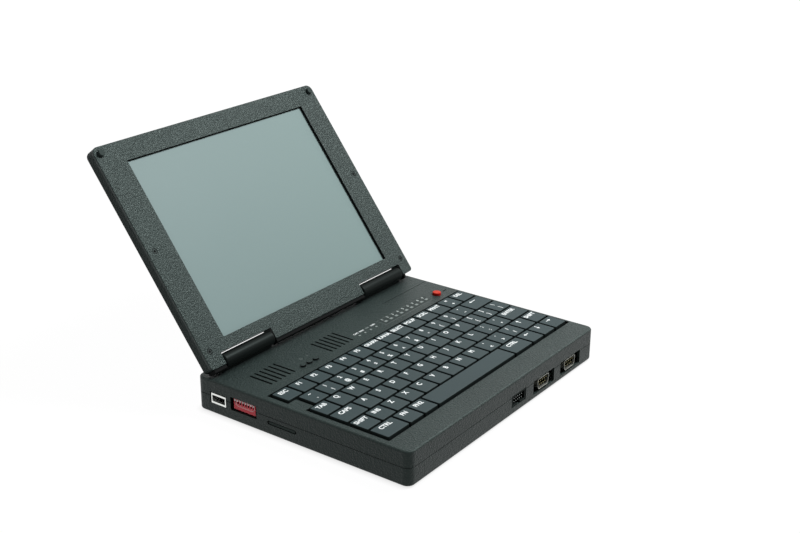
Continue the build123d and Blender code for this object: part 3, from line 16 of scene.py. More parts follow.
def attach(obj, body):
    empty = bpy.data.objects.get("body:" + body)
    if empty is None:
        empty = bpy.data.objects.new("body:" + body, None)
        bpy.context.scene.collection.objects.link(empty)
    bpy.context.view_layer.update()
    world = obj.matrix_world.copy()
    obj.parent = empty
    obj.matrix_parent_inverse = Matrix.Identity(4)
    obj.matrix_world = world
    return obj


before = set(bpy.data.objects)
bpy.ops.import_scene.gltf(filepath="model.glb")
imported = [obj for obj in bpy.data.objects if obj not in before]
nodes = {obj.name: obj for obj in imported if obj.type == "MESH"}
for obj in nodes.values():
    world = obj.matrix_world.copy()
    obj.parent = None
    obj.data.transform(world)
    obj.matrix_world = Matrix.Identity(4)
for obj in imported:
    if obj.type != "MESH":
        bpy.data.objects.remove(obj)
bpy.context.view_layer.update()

# %% [markdown]
# ## Measures
# The printed legends and the small added pieces have to land on the keys and on the tilted
# lid. So the few measures that they need are written once here, in metres: the key grid,
# and the plane of the lid. X runs to the user's right, Y to the back and Z up.

# %% Measures of the keyboard
MM = 0.001
PITCH_X = 17.07 * MM
PITCH_Y = 17.45 * MM
WIDE = 1.5
KEYS_LEFT = -118.0 * MM
KEYS_BACK = 30.9 * MM
KEY_TOP = 28.5 * MM
DECK = 27.5 * MM
LEFT_WALL = -125.0 * MM
print("key grid starts at", KEYS_LEFT, KEYS_BACK, "and steps by", PITCH_X, PITCH_Y)

# %% [markdown]
# The lid leans back on its hinge axis. Pieces on the lid are placed by how far across,
# how far up the lid and how far out of its face they are, so one matrix is made here that
# turns such a place into the shared frame.

# %% Measures of the lid
HINGE_Y = 86.0 * MM
HINGE_Z = 34.45 * MM
FACE = 4.27 * MM
LEAN = math.radians(52.65)
lid_across = Vector((1, 0, 0))
lid_up = Vector((0, math.cos(LEAN), math.sin(LEAN)))
lid_out = lid_across.cross(lid_up)
lid_place = Matrix.Translation((0, HINGE_Y, HINGE_Z)) @ Matrix(
    (lid_across, lid_up, lid_out)
).transposed().to_4x4()


def on_lid(across, up, out):
    """A place on the lid, out of the plane through the hinge axis."""
    return lid_place @ Matrix.Translation((across, up, out))


print("lid leans", round(math.degrees(LEAN), 2), "degrees above the table, facing", lid_out)

# %% [markdown]
# ## Camera
# The picture looks down at the open laptop from its front left corner, with a long lens.
# The place, the turn and the lens were worked out from the straight edges of the object,
# so the render can be laid over the picture.

# %% Camera
CAMERA_PLACE = (-0.72743, -0.526134, 0.451531)
CAMERA_TURN = (68.3855, -0.308, -53.8062)
FILM_W = 36
LENS = 58.52
SIGHT_END = 30


def new_object(name, data):
    """An object with this data, linked into the scene."""
    made = bpy.data.objects.new(name, data)
    bpy.context.collection.objects.link(made)
    return made


camera_data = bpy.data.cameras.new("photo_camera")
camera_data.sensor_width = FILM_W
camera_data.lens = LENS
camera_data.clip_end = SIGHT_END
camera = new_object("photo_camera", camera_data)
camera.location = CAMERA_PLACE
camera.rotation_euler = [math.radians(degrees) for degrees in CAMERA_TURN]
bpy.context.scene.camera = camera
bpy.context.scene.view_settings.view_transform = "Standard"
print("camera", tuple(round(v, 3) for v in camera.location), "lens", camera_data.lens)

# %% [markdown]
# ## Shared effects
# Real surfaces are never one flat colour. Six effects come back on many materials here:
# the spark-eroded grain of moulded plastic, rubbed edges, a little dust on faces that look
# up, a mask of standing sides and a mask of narrow places, with which the materials paint
# shade on sides and in depths, and the drawn lines of brushed metal. Each is a node group,
# built once, with named inputs, so every material can use it with its own values. A group
# gives only masks and heights, and the shader stays in the material.

# %% Helpers for node groups
effects = {}


def start_group(name, inputs, outputs):
    """A new shader node group with float inputs {name: default} and named outputs."""
    group = bpy.data.node_groups.new(name, "ShaderNodeTree")
    for label, value in inputs.items():
        socket = group.interface.new_socket(label, in_out="INPUT", socket_type="NodeSocketFloat")
        socket.default_value = value
    for label in outputs:
        group.interface.new_socket(label, in_out="OUTPUT", socket_type="NodeSocketFloat")
    start = group.nodes.new("NodeGroupInput")
    end = group.nodes.new("NodeGroupOutput")
    return group, start, end


def add(tree, kind, **settings):
    """A node of this kind with its properties set, and its sockets from names with a capital."""
    node = tree.nodes.new(kind)
    for key, value in settings.items():
        if key[0].isupper():
            node.inputs[key.replace("_", " ")].default_value = value
        else:
            setattr(node, key, value)
    return node


def math_node(tree, operation, a, b, clamp=False):
    """A math node on two sockets or numbers, which gives back its output."""
    node = add(tree, "ShaderNodeMath", operation=operation, use_clamp=clamp)
    for place, value in enumerate((a, b)):
        if isinstance(value, (int, float)):
            node.inputs[place].default_value = value
        else:
            tree.links.new(value, node.inputs[place])
    return node.outputs[0]


def beyond(tree, value, level, gain):
    """How far a value is over a level, times a gain, and kept between 0 and 1."""
    return math_node(tree, "MULTIPLY", math_node(tree, "SUBTRACT", value, level), gain, clamp=True)


def short_of(tree, value, level, gain):
    """How far a value is under a level, times a gain, and kept between 0 and 1."""
    return math_node(tree, "MULTIPLY", math_node(tree, "SUBTRACT", level, value), gain, clamp=True)


def put_out(group, mask, start, end):
    """Send a mask out of its group, times the group's amount."""
    amount = start.outputs["Amount"]
    group.links.new(math_node(group, "MULTIPLY", mask, amount), end.inputs["Mask"])


def upward_look(group):
    """How far a face looks up: 1 for a level top, and 0 for a standing side."""
    shape = add(group, "ShaderNodeNewGeometry")
    split = add(group, "ShaderNodeSeparateXYZ")
    group.links.new(shape.outputs["Normal"], split.inputs[0])
    return split.outputs["Z"]


def keep_effect(name, group):
    """Keep a finished group under a short name."""
    effects[name] = group
    print(name, "effect:", len(group.nodes), "nodes")


# %% Moulded grain
FINE_SHARE = 0.7
SLOW_SHARE = 0.3


def build_grain():
    """Height and tint of a spark-eroded mould: fine pits, and slow changes of tone."""
    group, start, end = start_group(
        "moulded_grain", {"Grain": 1400.0, "Pits": 0.5, "Patches": 18.0}, ["Height", "Tint"]
    )
    place = add(group, "ShaderNodeTexCoord")
    fine = add(group, "ShaderNodeTexNoise", Detail=3.0, Roughness=0.6)
    pits = add(group, "ShaderNodeTexVoronoi", feature="SMOOTH_F1")
    slow = add(group, "ShaderNodeTexNoise", Detail=2.0)
    for texture in (fine, pits, slow):
        group.links.new(place.outputs["Object"], texture.inputs["Vector"])
    group.links.new(start.outputs["Grain"], fine.inputs["Scale"])
    group.links.new(start.outputs["Grain"], pits.inputs["Scale"])
    group.links.new(start.outputs["Patches"], slow.inputs["Scale"])
    cells = math_node(group, "MULTIPLY", pits.outputs["Distance"], start.outputs["Pits"])
    height = math_node(group, "ADD", fine.outputs["Fac"], cells)
    group.links.new(height, end.inputs["Height"])
    speck = math_node(group, "MULTIPLY", fine.outputs["Fac"], FINE_SHARE)
    cloud = math_node(group, "MULTIPLY", slow.outputs["Fac"], SLOW_SHARE)
    group.links.new(math_node(group, "ADD", speck, cloud), end.inputs["Tint"])
    return group


keep_effect("grain", build_grain())

# %% Rubbed edges
EDGE_GAIN = 4.0
RUB_LEVEL = 0.35
RUB_GAIN = 2.2


def build_wear():
    """A mask that is bright along convex edges, broken up as hands rub them."""
    group, start, end = start_group("rubbed_edges", {"Width": 0.0004, "Amount": 0.6}, ["Mask"])
    bevel = add(group, "ShaderNodeBevel", samples=4)
    group.links.new(start.outputs["Width"], bevel.inputs["Radius"])
    shape = add(group, "ShaderNodeNewGeometry")
    dot = add(group, "ShaderNodeVectorMath", operation="DOT_PRODUCT")
    group.links.new(bevel.outputs["Normal"], dot.inputs[0])
    group.links.new(shape.outputs["Normal"], dot.inputs[1])
    edge = short_of(group, dot.outputs["Value"], 1.0, EDGE_GAIN)
    place = add(group, "ShaderNodeTexCoord")
    patches = add(group, "ShaderNodeTexNoise", Scale=90.0, Detail=4.0)
    group.links.new(place.outputs["Object"], patches.inputs["Vector"])
    broken = beyond(group, patches.outputs["Fac"], RUB_LEVEL, RUB_GAIN)
    put_out(group, math_node(group, "MULTIPLY", edge, broken), start, end)
    return group


keep_effect("wear", build_wear())

# %% Dust
LOOKS_UP = 0.4
SPECK_LEVEL = 0.58
SPECK_GAIN = 5.0


def build_dust():
    """A mask of fine specks on faces that look up."""
    group, start, end = start_group("settled_dust", {"Amount": 0.3, "Specks": 500.0}, ["Mask"])
    upward = math_node(group, "SUBTRACT", upward_look(group), LOOKS_UP, clamp=True)
    place = add(group, "ShaderNodeTexCoord")
    specks = add(group, "ShaderNodeTexNoise", Detail=5.0, Roughness=0.75)
    group.links.new(place.outputs["Object"], specks.inputs["Vector"])
    group.links.new(start.outputs["Specks"], specks.inputs["Scale"])
    few = beyond(group, specks.outputs["Fac"], SPECK_LEVEL, SPECK_GAIN)
    put_out(group, math_node(group, "MULTIPLY", few, upward), start, end)
    return group


keep_effect("dust", build_dust())

# %% Painted shade on standing sides
LEVEL_TOP = 0.95
SIDE_GAIN = 1.6


def build_side_shade():
    """A mask of painted shade: bright on the standing sides of a key or a case, dark on its top.
    """
    group, start, end = start_group("painted_shade_on_sides", {"Amount": 1.0}, ["Mask"])
    put_out(group, short_of(group, upward_look(group), LEVEL_TOP, SIDE_GAIN), start, end)
    return group


keep_effect("sides", build_side_shade())

# %% Painted shade in narrow places
OPEN_ENOUGH = 0.68
DEPTH_GAIN = 2.6


def build_depth_shade():
    """A mask of painted shade, bright deep in slots and sockets, where little light gets in."""
    group, start, end = start_group("painted_shade_in_depths", {"Reach": 0.008, "Amount": 1.0}, ["Mask"])
    near = add(group, "ShaderNodeAmbientOcclusion", samples=6)
    group.links.new(start.outputs["Reach"], near.inputs["Distance"])
    put_out(group, short_of(group, near.outputs["AO"], OPEN_ENOUGH, DEPTH_GAIN), start, end)
    return group


keep_effect("narrow", build_depth_shade())

# %% Brushed metal
LINE_STRETCH = (0.02, 1.0, 1.0)


def build_brushed():
    """Height and tone of fine parallel lines along X, as rolling and brushing leave."""
    group, start, end = start_group("drawn_lines", {"Lines": 5000.0}, ["Height", "Tone"])
    place = add(group, "ShaderNodeTexCoord")
    stretch = add(group, "ShaderNodeMapping")
    stretch.inputs["Scale"].default_value = LINE_STRETCH
    lines = add(group, "ShaderNodeTexNoise", Detail=2.0)
    group.links.new(place.outputs["Object"], stretch.inputs["Vector"])
    group.links.new(stretch.outputs["Vector"], lines.inputs["Vector"])
    group.links.new(start.outputs["Lines"], lines.inputs["Scale"])
    group.links.new(lines.outputs["Fac"], end.inputs["Height"])
    group.links.new(lines.outputs["Fac"], end.inputs["Tone"])
    return group


keep_effect("brushed", build_brushed())
print("effects:", ", ".join(group.name for group in effects.values()))

# %% [markdown]
# ## Materials
# Most of the laptop is one plastic in several finishes, so one function mixes the shared
# effects into a plastic: two tones of grain, rubbed edges, painted shade on standing sides
# and in depths, and dust.
# Metals get drawn lines instead of grain. The numbers for each surface were judged from
# the picture: the case is a matt charcoal with a green cast and a coarse grain, the keys
# are a little lighter and smoother, and the hinge barrels are nearly black.

# %% Helpers for materials
def place_effect(tree, name, **values):
    """One of the shared node groups, with its own values."""
    node = tree.nodes.new("ShaderNodeGroup")
    node.node_tree = effects[name]
    for label, value in values.items():
        node.inputs[label].default_value = value
    return node


def mix_colour(tree, mask, below, above):
    """A colour mix: below where the mask is 0, above where it is 1."""
    node = add(tree, "ShaderNodeMix", data_type="RGBA")
    tree.links.new(mask, node.inputs[0])
    for place, value in ((6, below), (7, above)):
        if isinstance(value, tuple):
            node.inputs[place].default_value = (*value, 1.0)
        else:
            tree.links.new(value, node.inputs[place])
    return node.outputs[2]


def remap(tree, value, low, high):
    """Stretch a value that runs from 0 to 1, so that it runs from low to high."""
    node = add(tree, "ShaderNodeMapRange")
    tree.links.new(value, node.inputs["Value"])
    node.inputs["To Min"].default_value = low
    node.inputs["To Max"].default_value = high
    return node.outputs["Result"]


def start_material(name, **sockets):
    """A material with an empty Principled shader whose plain sockets are set."""
    material = bpy.data.materials.new(name)
    material.use_nodes = True
    shader = material.node_tree.nodes["Principled BSDF"]
    for label, value in sockets.items():
        shader.inputs[label.replace("_", " ")].default_value = value
    return material, material.node_tree, shader


def connect_bump(tree, shader, height, strength, distance):
    """Feed a height to the shader's normal."""
    bump = add(tree, "ShaderNodeBump", Strength=strength, Distance=distance)
    tree.links.new(height, bump.inputs["Height"])
    tree.links.new(bump.outputs["Normal"], shader.inputs["Normal"])


# %% Moulded plastic
DUST = (0.5, 0.52, 0.5)
# The next colour is the painted shade deep in slots and sockets.
DEPTH_SHADE_COLOUR = (0.002, 0.003, 0.003)
TONE_REACH = 1.1
ROUGH_SPREAD = 0.08
GREEN_SHEEN = (0.78, 1.0, 0.95, 1.0)


def green_sheen(level):
    """The sockets of a green tinted sheen at this level."""
    return {"Specular_IOR_Level": level, "Specular_Tint": GREEN_SHEEN}


def moulded(name, dark, light, rough, grain=1400.0, pits=0.5, bump=0.3, relief=0.0001,
            worn=None, edge=0.5, sides=None, dust=0.0, shade=0.0, **sockets):
    """Moulded plastic: grain in two tones, rubbed edges, dust, painted shade on sides and depths.
    """
    material, tree, shader = start_material(name, **sockets)
    texture = place_effect(tree, "grain", Grain=grain, Pits=pits)
    tone = remap(tree, texture.outputs["Tint"], 0.5 - TONE_REACH, 0.5 + TONE_REACH)
    colour = mix_colour(tree, tone, dark, light)
    # The sides and narrow layers paint shade: on standing sides, and deep in slots and sockets.
    for effect, amount, over in (("wear", edge, worn or light), ("sides", 1.0, sides),
                                 ("dust", dust, DUST), ("narrow", shade, DEPTH_SHADE_COLOUR)):
        if amount and over:
            layer = place_effect(tree, effect, Amount=amount)
            colour = mix_colour(tree, layer.outputs["Mask"], colour, over)
    tree.links.new(colour, shader.inputs["Base Color"])
    spread = remap(tree, texture.outputs["Tint"], rough - ROUGH_SPREAD, rough + ROUGH_SPREAD)
    tree.links.new(spread, shader.inputs["Roughness"])
    connect_bump(tree, shader, texture.outputs["Height"], bump, relief)
    return material


# %% Metal
DULLER = 0.75
BRIGHTER = 1.25
METAL_SPREAD = 0.1
METAL_RELIEF = 0.0001
METAL_EDGE = 0.0002


def metal(name, tone, rough, bump=0.1, edge=0.5, shade=0.0):
    """Metal with drawn lines, brighter where its edges are rubbed, and painted shade in its
    depths.
    """
    material, tree, shader = start_material(name, Metallic=1.0)
    drawn = place_effect(tree, "brushed")
    dim = tuple(channel * DULLER for channel in tone)
    bright = tuple(min(1.0, channel * BRIGHTER) for channel in tone)
    colour = mix_colour(tree, drawn.outputs["Tone"], dim, bright)
    wear = place_effect(tree, "wear", Amount=edge, Width=METAL_EDGE)
    colour = mix_colour(tree, wear.outputs["Mask"], colour, bright)
    if shade:
        depth_shade_layer = place_effect(tree, "narrow", Amount=shade)
        colour = mix_colour(tree, depth_shade_layer.outputs["Mask"], colour, DEPTH_SHADE_COLOUR)
    tree.links.new(colour, shader.inputs["Base Color"])
    spread = remap(tree, drawn.outputs["Tone"], rough - METAL_SPREAD, rough + METAL_SPREAD)
    tree.links.new(spread, shader.inputs["Roughness"])
    connect_bump(tree, shader, drawn.outputs["Height"], bump, METAL_RELIEF)
    return material


# %% [markdown]
# The case and the keys are what the picture shows most, so their values come first. The
# grain of the case sparkles from a step away, so its cells are a little over a millimetre
# across, and its bump is over half a millimetre deep: more than on a real mould, so that it
# still shows at this distance. The bezel has a slightly finer grain. The lid's shell, which
# makes its sides and back, has a coarser, duller and darker one: a darker copy of the same
# plastic, which paints shade on the lid's sides. The case and the keys paint shade on their
# standing sides, and the case, the bezel and the shell paint shade in their depths. The
# sheen of them all is tinted green, as in the picture.

# %% Plastics of the case and the keys
WORN_CASE = (0.05, 0.066, 0.063)

# Its sides and shade paint shade on standing faces and in depths.
case_grain = moulded("case_grain", (0.008, 0.0138, 0.013), (0.034, 0.048, 0.0455), 0.38,
                     grain=820.0, bump=1.0, relief=0.0006, worn=WORN_CASE, edge=0.3, dust=0.08,
                     sides=(0.0072, 0.0105, 0.010), shade=1.0, **green_sheen(0.25))
bezel_grain = moulded("bezel_grain", (0.005, 0.009, 0.0085), (0.024, 0.0345, 0.0325), 0.33,
                      grain=960.0, bump=1.0, relief=0.0006, worn=WORN_CASE, edge=0.3, dust=0.08,
                      shade=1.0, **green_sheen(0.26))
# A darker copy of the case plastic for the lid's shell: painted shade on the lid's sides.
shaded_shell_grain = moulded("shaded_shell_grain", (0.006, 0.009, 0.0085), (0.014, 0.020, 0.019), 0.55,
                      grain=660.0, bump=1.0, relief=0.0009, worn=WORN_CASE, edge=0.2, dust=0.05,
                      shade=1.0, **green_sheen(0.17))
# Its sides paint shade on the keys' standing sides.
key_satin = moulded("key_satin", (0.029, 0.044, 0.047), (0.041, 0.060, 0.064), 0.5, grain=2400.0,
                    pits=0.2, bump=0.3, worn=(0.09, 0.125, 0.13), edge=0.3,
                    sides=(0.004, 0.006, 0.006), dust=0.06, **green_sheen(0.2))
barrel_black = moulded("barrel_black", (0.003, 0.004, 0.004), (0.007, 0.009, 0.0085), 0.42,
                       grain=2200.0, bump=0.12, worn=(0.02, 0.026, 0.025), edge=0.3,
                       **green_sheen(0.08))
bumper_grey = moulded("bumper_grey", (0.013, 0.019, 0.018), (0.025, 0.034, 0.032), 0.7,
                      grain=1500.0, bump=0.3, worn=(0.05, 0.064, 0.062), edge=0.3,
                      **green_sheen(0.25))
foot_rubber = moulded("foot_rubber", (0.012, 0.012, 0.012), (0.024, 0.024, 0.024), 0.85,
                      grain=1800.0, bump=0.4, worn=(0.04, 0.04, 0.04), edge=0.3, dust=0.1)
window_smoke = moulded("window_smoke", (0.010, 0.0155, 0.0145), (0.018, 0.026, 0.0245), 0.5,
                       grain=2000.0, bump=0.05, worn=(0.08, 0.1, 0.096), edge=0.4, dust=0.08,
                       **green_sheen(0.26))
print("case plastics:", case_grain.name, bezel_grain.name, shaded_shell_grain.name, key_satin.name)

# %% Plastics of the switches and sockets
# Their shade paints shade deep in the header and the sockets.
header_grey = moulded("header_grey", (0.009, 0.012, 0.0115), (0.016, 0.021, 0.020), 0.55,
                      grain=1800.0, bump=0.2, worn=(0.05, 0.064, 0.062), edge=0.5, shade=1.0,
                      Specular_IOR_Level=0.03)
socket_black = moulded("socket_black", (0.004, 0.005, 0.005), (0.009, 0.010, 0.010), 0.5,
                       bump=0.15, shade=1.0, Specular_IOR_Level=0.03)
# The pale pink of the red block's rubbed edges paints glare highlights along them, and its shade
# paints shade in the lever slots.
switch_red = moulded("switch_red", (0.84, 0.022, 0.048), (0.92, 0.034, 0.066), 0.26, grain=2400.0,
                     bump=0.1, worn=(0.9, 0.36, 0.38), edge=0.9, shade=0.8, Specular_IOR_Level=0.3,
                     Coat_Weight=0.1)
lever_white = moulded("lever_white", (0.80, 0.77, 0.75), (0.90, 0.88, 0.86), 0.38, grain=3000.0,
                      bump=0.08, worn=(0.95, 0.94, 0.92))
figure_and_glare_pink = moulded("figure_and_glare_pink", (0.80, 0.36, 0.37), (0.92, 0.48, 0.49), 0.45, grain=3000.0,
                      bump=0.08)
button_red = moulded("button_red", (0.54, 0.028, 0.012), (0.64, 0.048, 0.022), 0.4, grain=2600.0,
                     pits=0.2, bump=0.08, worn=(0.72, 0.12, 0.07), edge=0.5,
                     sides=(0.46, 0.012, 0.008), Specular_IOR_Level=0.12)
print("switches:", switch_red.name, lever_white.name, button_red.name)

# %% Inner pieces, prints and metals
def ink(name, dark, light, **more):
    """Printed ink, with hardly any grain."""
    return moulded(name, dark, light, 0.5, grain=4000.0, bump=0.1, **more)


# Where shade is set below, it paints shade in the depths of boards, frame, speakers, sockets and
# pins.
dome_silicone = moulded("dome_silicone", (0.34, 0.35, 0.34), (0.46, 0.47, 0.46), 0.55, bump=0.2)
board_green = moulded("board_green", (0.012, 0.10, 0.05), (0.03, 0.17, 0.09), 0.35, grain=900.0,
                      bump=0.15, shade=1.0)
battery_film = moulded("battery_film", (0.02, 0.035, 0.06), (0.04, 0.06, 0.1), 0.3,
                       grain=300.0, bump=0.2)
frame_black = moulded("frame_black", (0.004, 0.005, 0.005), (0.009, 0.010, 0.010), 0.7, bump=0.3,
                      shade=1.0, Specular_IOR_Level=0.2)
speaker_paper = moulded("speaker_paper", (0.004, 0.004, 0.004), (0.009, 0.009, 0.009), 0.8,
                        grain=700.0, bump=0.6, shade=1.0, Specular_IOR_Level=0.1)
# A near black for pieces that paint shade: bars and rings under the lid, in the window, round the
# screws, in the seam and in the card slot, and the sides of the oval buttons.
painted_shade_black = moulded("painted_shade_black", (0.002, 0.0025, 0.0025), (0.004, 0.005, 0.005), 0.8,
                       bump=0.2, Specular_IOR_Level=0.1)
legend_white = ink("legend_white", (0.84, 0.89, 0.89), (0.93, 0.97, 0.97),
                   worn=(0.7, 0.74, 0.73), edge=0.2)
mark_pale = ink("mark_pale", (0.44, 0.50, 0.48), (0.56, 0.62, 0.60))
mark_dim = ink("mark_dim", (0.18, 0.215, 0.205), (0.26, 0.30, 0.29))
line_grey = ink("line_grey", (0.07, 0.088, 0.084), (0.10, 0.125, 0.12))
rim_bright = metal("rim_bright", (0.88, 0.94, 0.85), 0.38)
leaf_bright = metal("leaf_bright", (0.88, 0.92, 0.89), 0.32)
shell_nickel = metal("shell_nickel", (0.42, 0.43, 0.39), 0.45, shade=1.0)
card_steel = metal("card_steel", (0.10, 0.11, 0.107), 0.5, shade=1.0)
sheet_steel = metal("sheet_steel", (0.5, 0.5, 0.5), 0.38)
tray_aluminium = metal("tray_aluminium", (0.6, 0.61, 0.62), 0.42)
screw_dark = metal("screw_dark", (0.036, 0.046, 0.044), 0.6, edge=0.1)
pin_tin = metal("pin_tin", (0.34, 0.37, 0.36), 0.4, bump=0.04, shade=1.0)
contact_gold = metal("contact_gold", (0.24, 0.22, 0.11), 0.45, bump=0.04, shade=1.0)
print("materials:", len([m for m in bpy.data.materials if m.use_nodes]))

# %% [markdown]
# ## Display
# The display is off. Its face is an etched plastic sheet that scatters the room light, so
# it looks like a flat grey green, a little lighter towards the left. A gradient across the
# sheet paints that lighter left into its colour, as a painted highlight, and a very fine
# bump gives the etched haze.

# %% Display face
DISPLAY_HALF_W = 0.1
# Lighter at the left, darker at the right: a painted highlight.
DISPLAY_PAINTED_LIGHT_TONES = ((0.186, 0.266, 0.263), (0.182, 0.257, 0.251))
HAZE_SHARE = 0.3


def build_display():
    """The display's blank face: grey green, a painted highlight towards the left, a fine haze."""
    material, tree, shader = start_material("display_face", Specular_IOR_Level=0.25)
    place = add(tree, "ShaderNodeTexCoord")
    split = add(tree, "ShaderNodeSeparateXYZ")
    tree.links.new(place.outputs["Object"], split.inputs[0])
    across = add(tree, "ShaderNodeMapRange")
    across.inputs["From Min"].default_value = -DISPLAY_HALF_W
    across.inputs["From Max"].default_value = DISPLAY_HALF_W
    tree.links.new(split.outputs["X"], across.inputs["Value"])
    haze = place_effect(tree, "grain", Grain=5000.0, Pits=0.3, Patches=12.0)
    wave = math_node(tree, "MULTIPLY", haze.outputs["Tint"], HAZE_SHARE)
    blend = math_node(tree, "ADD", across.outputs["Result"], wave, clamp=True)
    colour = mix_colour(tree, blend, *DISPLAY_PAINTED_LIGHT_TONES)
    tree.links.new(colour, shader.inputs["Base Color"])
    tree.links.new(remap(tree, haze.outputs["Tint"], 0.45, 0.6), shader.inputs["Roughness"])
    connect_bump(tree, shader, haze.outputs["Height"], 0.05, 0.0001)
    return material


display_face = build_display()
print("display face:", display_face.name)

# %% [markdown]
# ## Dress the CAD nodes
# Each CAD node keeps its own shape and gets the material that fits it, in the material
# slots of its object. The key groups all share one, so they are found by their names.

# %% Give every node its material
node_finish = {
    case_grain: ["bottom_case", "top_case"],
    bezel_grain: ["lid_bezel"],
    shaded_shell_grain: ["lid_shell"],
    barrel_black: ["hinge_cover_left", "hinge_cover_right"],
    foot_rubber: ["rubber_feet"],
    bumper_grey: ["lid_bumpers"],
    dome_silicone: ["dome_sheet"],
    screw_dark: ["base_screws", "lid_screws"],
    sheet_steel: ["keyboard_backplate", "hinge_bracket_left", "hinge_bracket_right"],
    leaf_bright: ["hinge_leaf_left", "hinge_leaf_right"],
    tray_aluminium: ["display_frame"],
    board_green: ["mainboard", "front_port_board", "status_board"],
    battery_film: ["battery_pack"],
    rim_bright: ["usb_shell"],
    shell_nickel: ["port_shell_1", "port_shell_2"],
    card_steel: ["card_socket"],
    contact_gold: ["port_pins"],
    pin_tin: ["header_pins"],
    header_grey: ["header_body"],
    socket_black: ["usb_insulator", "port_insulators", "power_switch"],
    frame_black: ["keyboard_frame"],
    speaker_paper: ["speaker_left", "speaker_right"],
    switch_red: ["dip_switch_body"],
    lever_white: ["dip_switch_levers"],
    button_red: ["power_button"],
    window_smoke: ["status_windows"],
    display_face: ["display_panel"],
    key_satin: [name for name in nodes if "_key" in name],
}
for material, names in node_finish.items():
    for name in names:
        for place in nodes[name].material_slots:
            place.material = material
left_over = set(nodes) - {name for names in node_finish.values() for name in names}
bare = [name for name in nodes if not nodes[name].material_slots]
dressed = sum(len(names) for names in node_finish.values())
print("dressed", dressed, "nodes, left over:", left_over, "bare:", bare)

# %% [markdown]
# ## Legends
# The legends are printed in white on the key tops. Single letters stand near the back edge
# of a key, digits have their shifted sign in front of them, and words are set smaller and
# wider. Blender's own font is turned into flat meshes a few hundredths of a millimetre
# thick. They could also be painted with a texture, but a mesh stays sharp at any distance.
# All legends of one CAD body become one piece, so they go down with their key.

# %% Words as flat meshes
PRINT_T = 0.02 * MM
FONT_CAP = 0.73
BOLD = 0.048


def text_mesh(words, height, narrow=1.0, widest=None):
    """A flat mesh of these words, centred, as tall as asked and no wider than the widest."""
    curve = bpy.data.curves.new("words", "FONT")
    curve.body = words
    curve.size = height / FONT_CAP
    curve.offset = BOLD * height
    curve.extrude = PRINT_T
    curve.resolution_u = 3
    holder = new_object("words", curve)
    bpy.context.view_layer.update()
    graph = bpy.context.evaluated_depsgraph_get()
    shape = bpy.data.meshes.new_from_object(holder.evaluated_get(graph))
    bpy.data.objects.remove(holder)
    bpy.data.curves.remove(curve)
    xs = [v.co.x for v in shape.vertices]
    ys = [v.co.y for v in shape.vertices]
    middle = Vector((min(xs) + max(xs), min(ys) + max(ys), 0)) / 2
    shape.transform(Matrix.Translation(-middle))
    if widest:
        narrow = min(narrow, widest / (max(xs) - min(xs)))
    shape.transform(Matrix.Diagonal((narrow, 1.0, 1.0, 1.0)))
    return shape


# %% Plain marks as flat meshes
ARROW_LINE = 0.13
ARROW_BARB = 0.75


def new_mesh(name, points, faces):
    """A mesh from its points and the faces that use them."""
    mesh = bpy.data.meshes.new(name)
    mesh.from_pydata(points, [], faces)
    return mesh


def hoop_faces(count):
    """Faces between two closed rows of this many points, listed one row after the other."""
    return [(i, (i + 1) % count, count + (i + 1) % count, count + i) for i in range(count)]


def flat_shape(corners, faces):
    """A mesh as thick as the print, from corners in the plane and faces that use them."""
    count = len(corners)
    points = [(x, y, -PRINT_T) for x, y in corners] + [(x, y, PRINT_T) for x, y in corners]
    sides = []
    for face in faces:
        sides.append(tuple(count + i for i in face))
        sides.append(tuple(reversed(face)))
    edges = [(face[i], face[(i + 1) % len(face)]) for face in faces for i in range(len(face))]
    for a, b in edges:
        if (b, a) not in edges:
            sides.append((a, b, count + b, count + a))
    return new_mesh("mark", points, sides)


def corners_of(width, height):
    """The four corners of a centred rectangle."""
    x, y = width / 2, height / 2
    return [(-x, -y), (x, -y), (x, y), (-x, y)]


def bar_mesh(width, height):
    """A flat rectangular mark."""
    return flat_shape(corners_of(width, height), [(0, 1, 2, 3)])


def outline_mesh(width, height, line):
    """A thin rectangular outline."""
    inner = corners_of(width - 2 * line, height - 2 * line)
    return flat_shape(corners_of(width, height) + inner, hoop_faces(4))


def arrow_mesh(length, head, degrees):
    """A flat arrow that points along +X before it is turned."""
    s = length / 2
    thin = head * ARROW_LINE
    neck = s - head * ARROW_BARB
    corners = [(-s, -thin), (neck, -thin), (neck, -head / 2), (s, 0), (neck, head / 2),
               (neck, thin), (-s, thin)]
    shape = flat_shape(corners, [(0, 1, 5, 6), (1, 2, 3, 4, 5)])
    shape.transform(Matrix.Rotation(math.radians(degrees), 4, "Z"))
    return shape


# %% Joining marks into a piece
def join_piece(name, shapes, material, body):
    """One object from many placed meshes, riding on a CAD body."""
    points, faces = [], []
    for shape, place in shapes:
        first = len(points)
        points += [place @ v.co for v in shape.vertices]
        faces += [[first + i for i in polygon.vertices] for polygon in shape.polygons]
    mesh = new_mesh(name, points, faces)
    tidy = bmesh.new()
    tidy.from_mesh(mesh)
    bmesh.ops.recalc_face_normals(tidy, faces=tidy.faces)
    tidy.to_mesh(mesh)
    tidy.free()
    mesh.materials.append(material)
    piece = new_object(name, mesh)
    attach(piece, body)
    return piece


print("print is", 2 * PRINT_T / MM, "mm thick")

# %% [markdown]
# The keyboard is written down as it reads, row by row from the back. Each row starts at
# some number of key widths from the left, and each entry gives the CAD body that carries
# the key, its width, and its legend. A pair in brackets is a sign above a sign, and a
# number is an arrow, turned by so many degrees.

# %% The keyboard's legends, row by row
def run(body, legends):
    """Single-width keys of one body."""
    return [(body, 1, legend) for legend in legends]


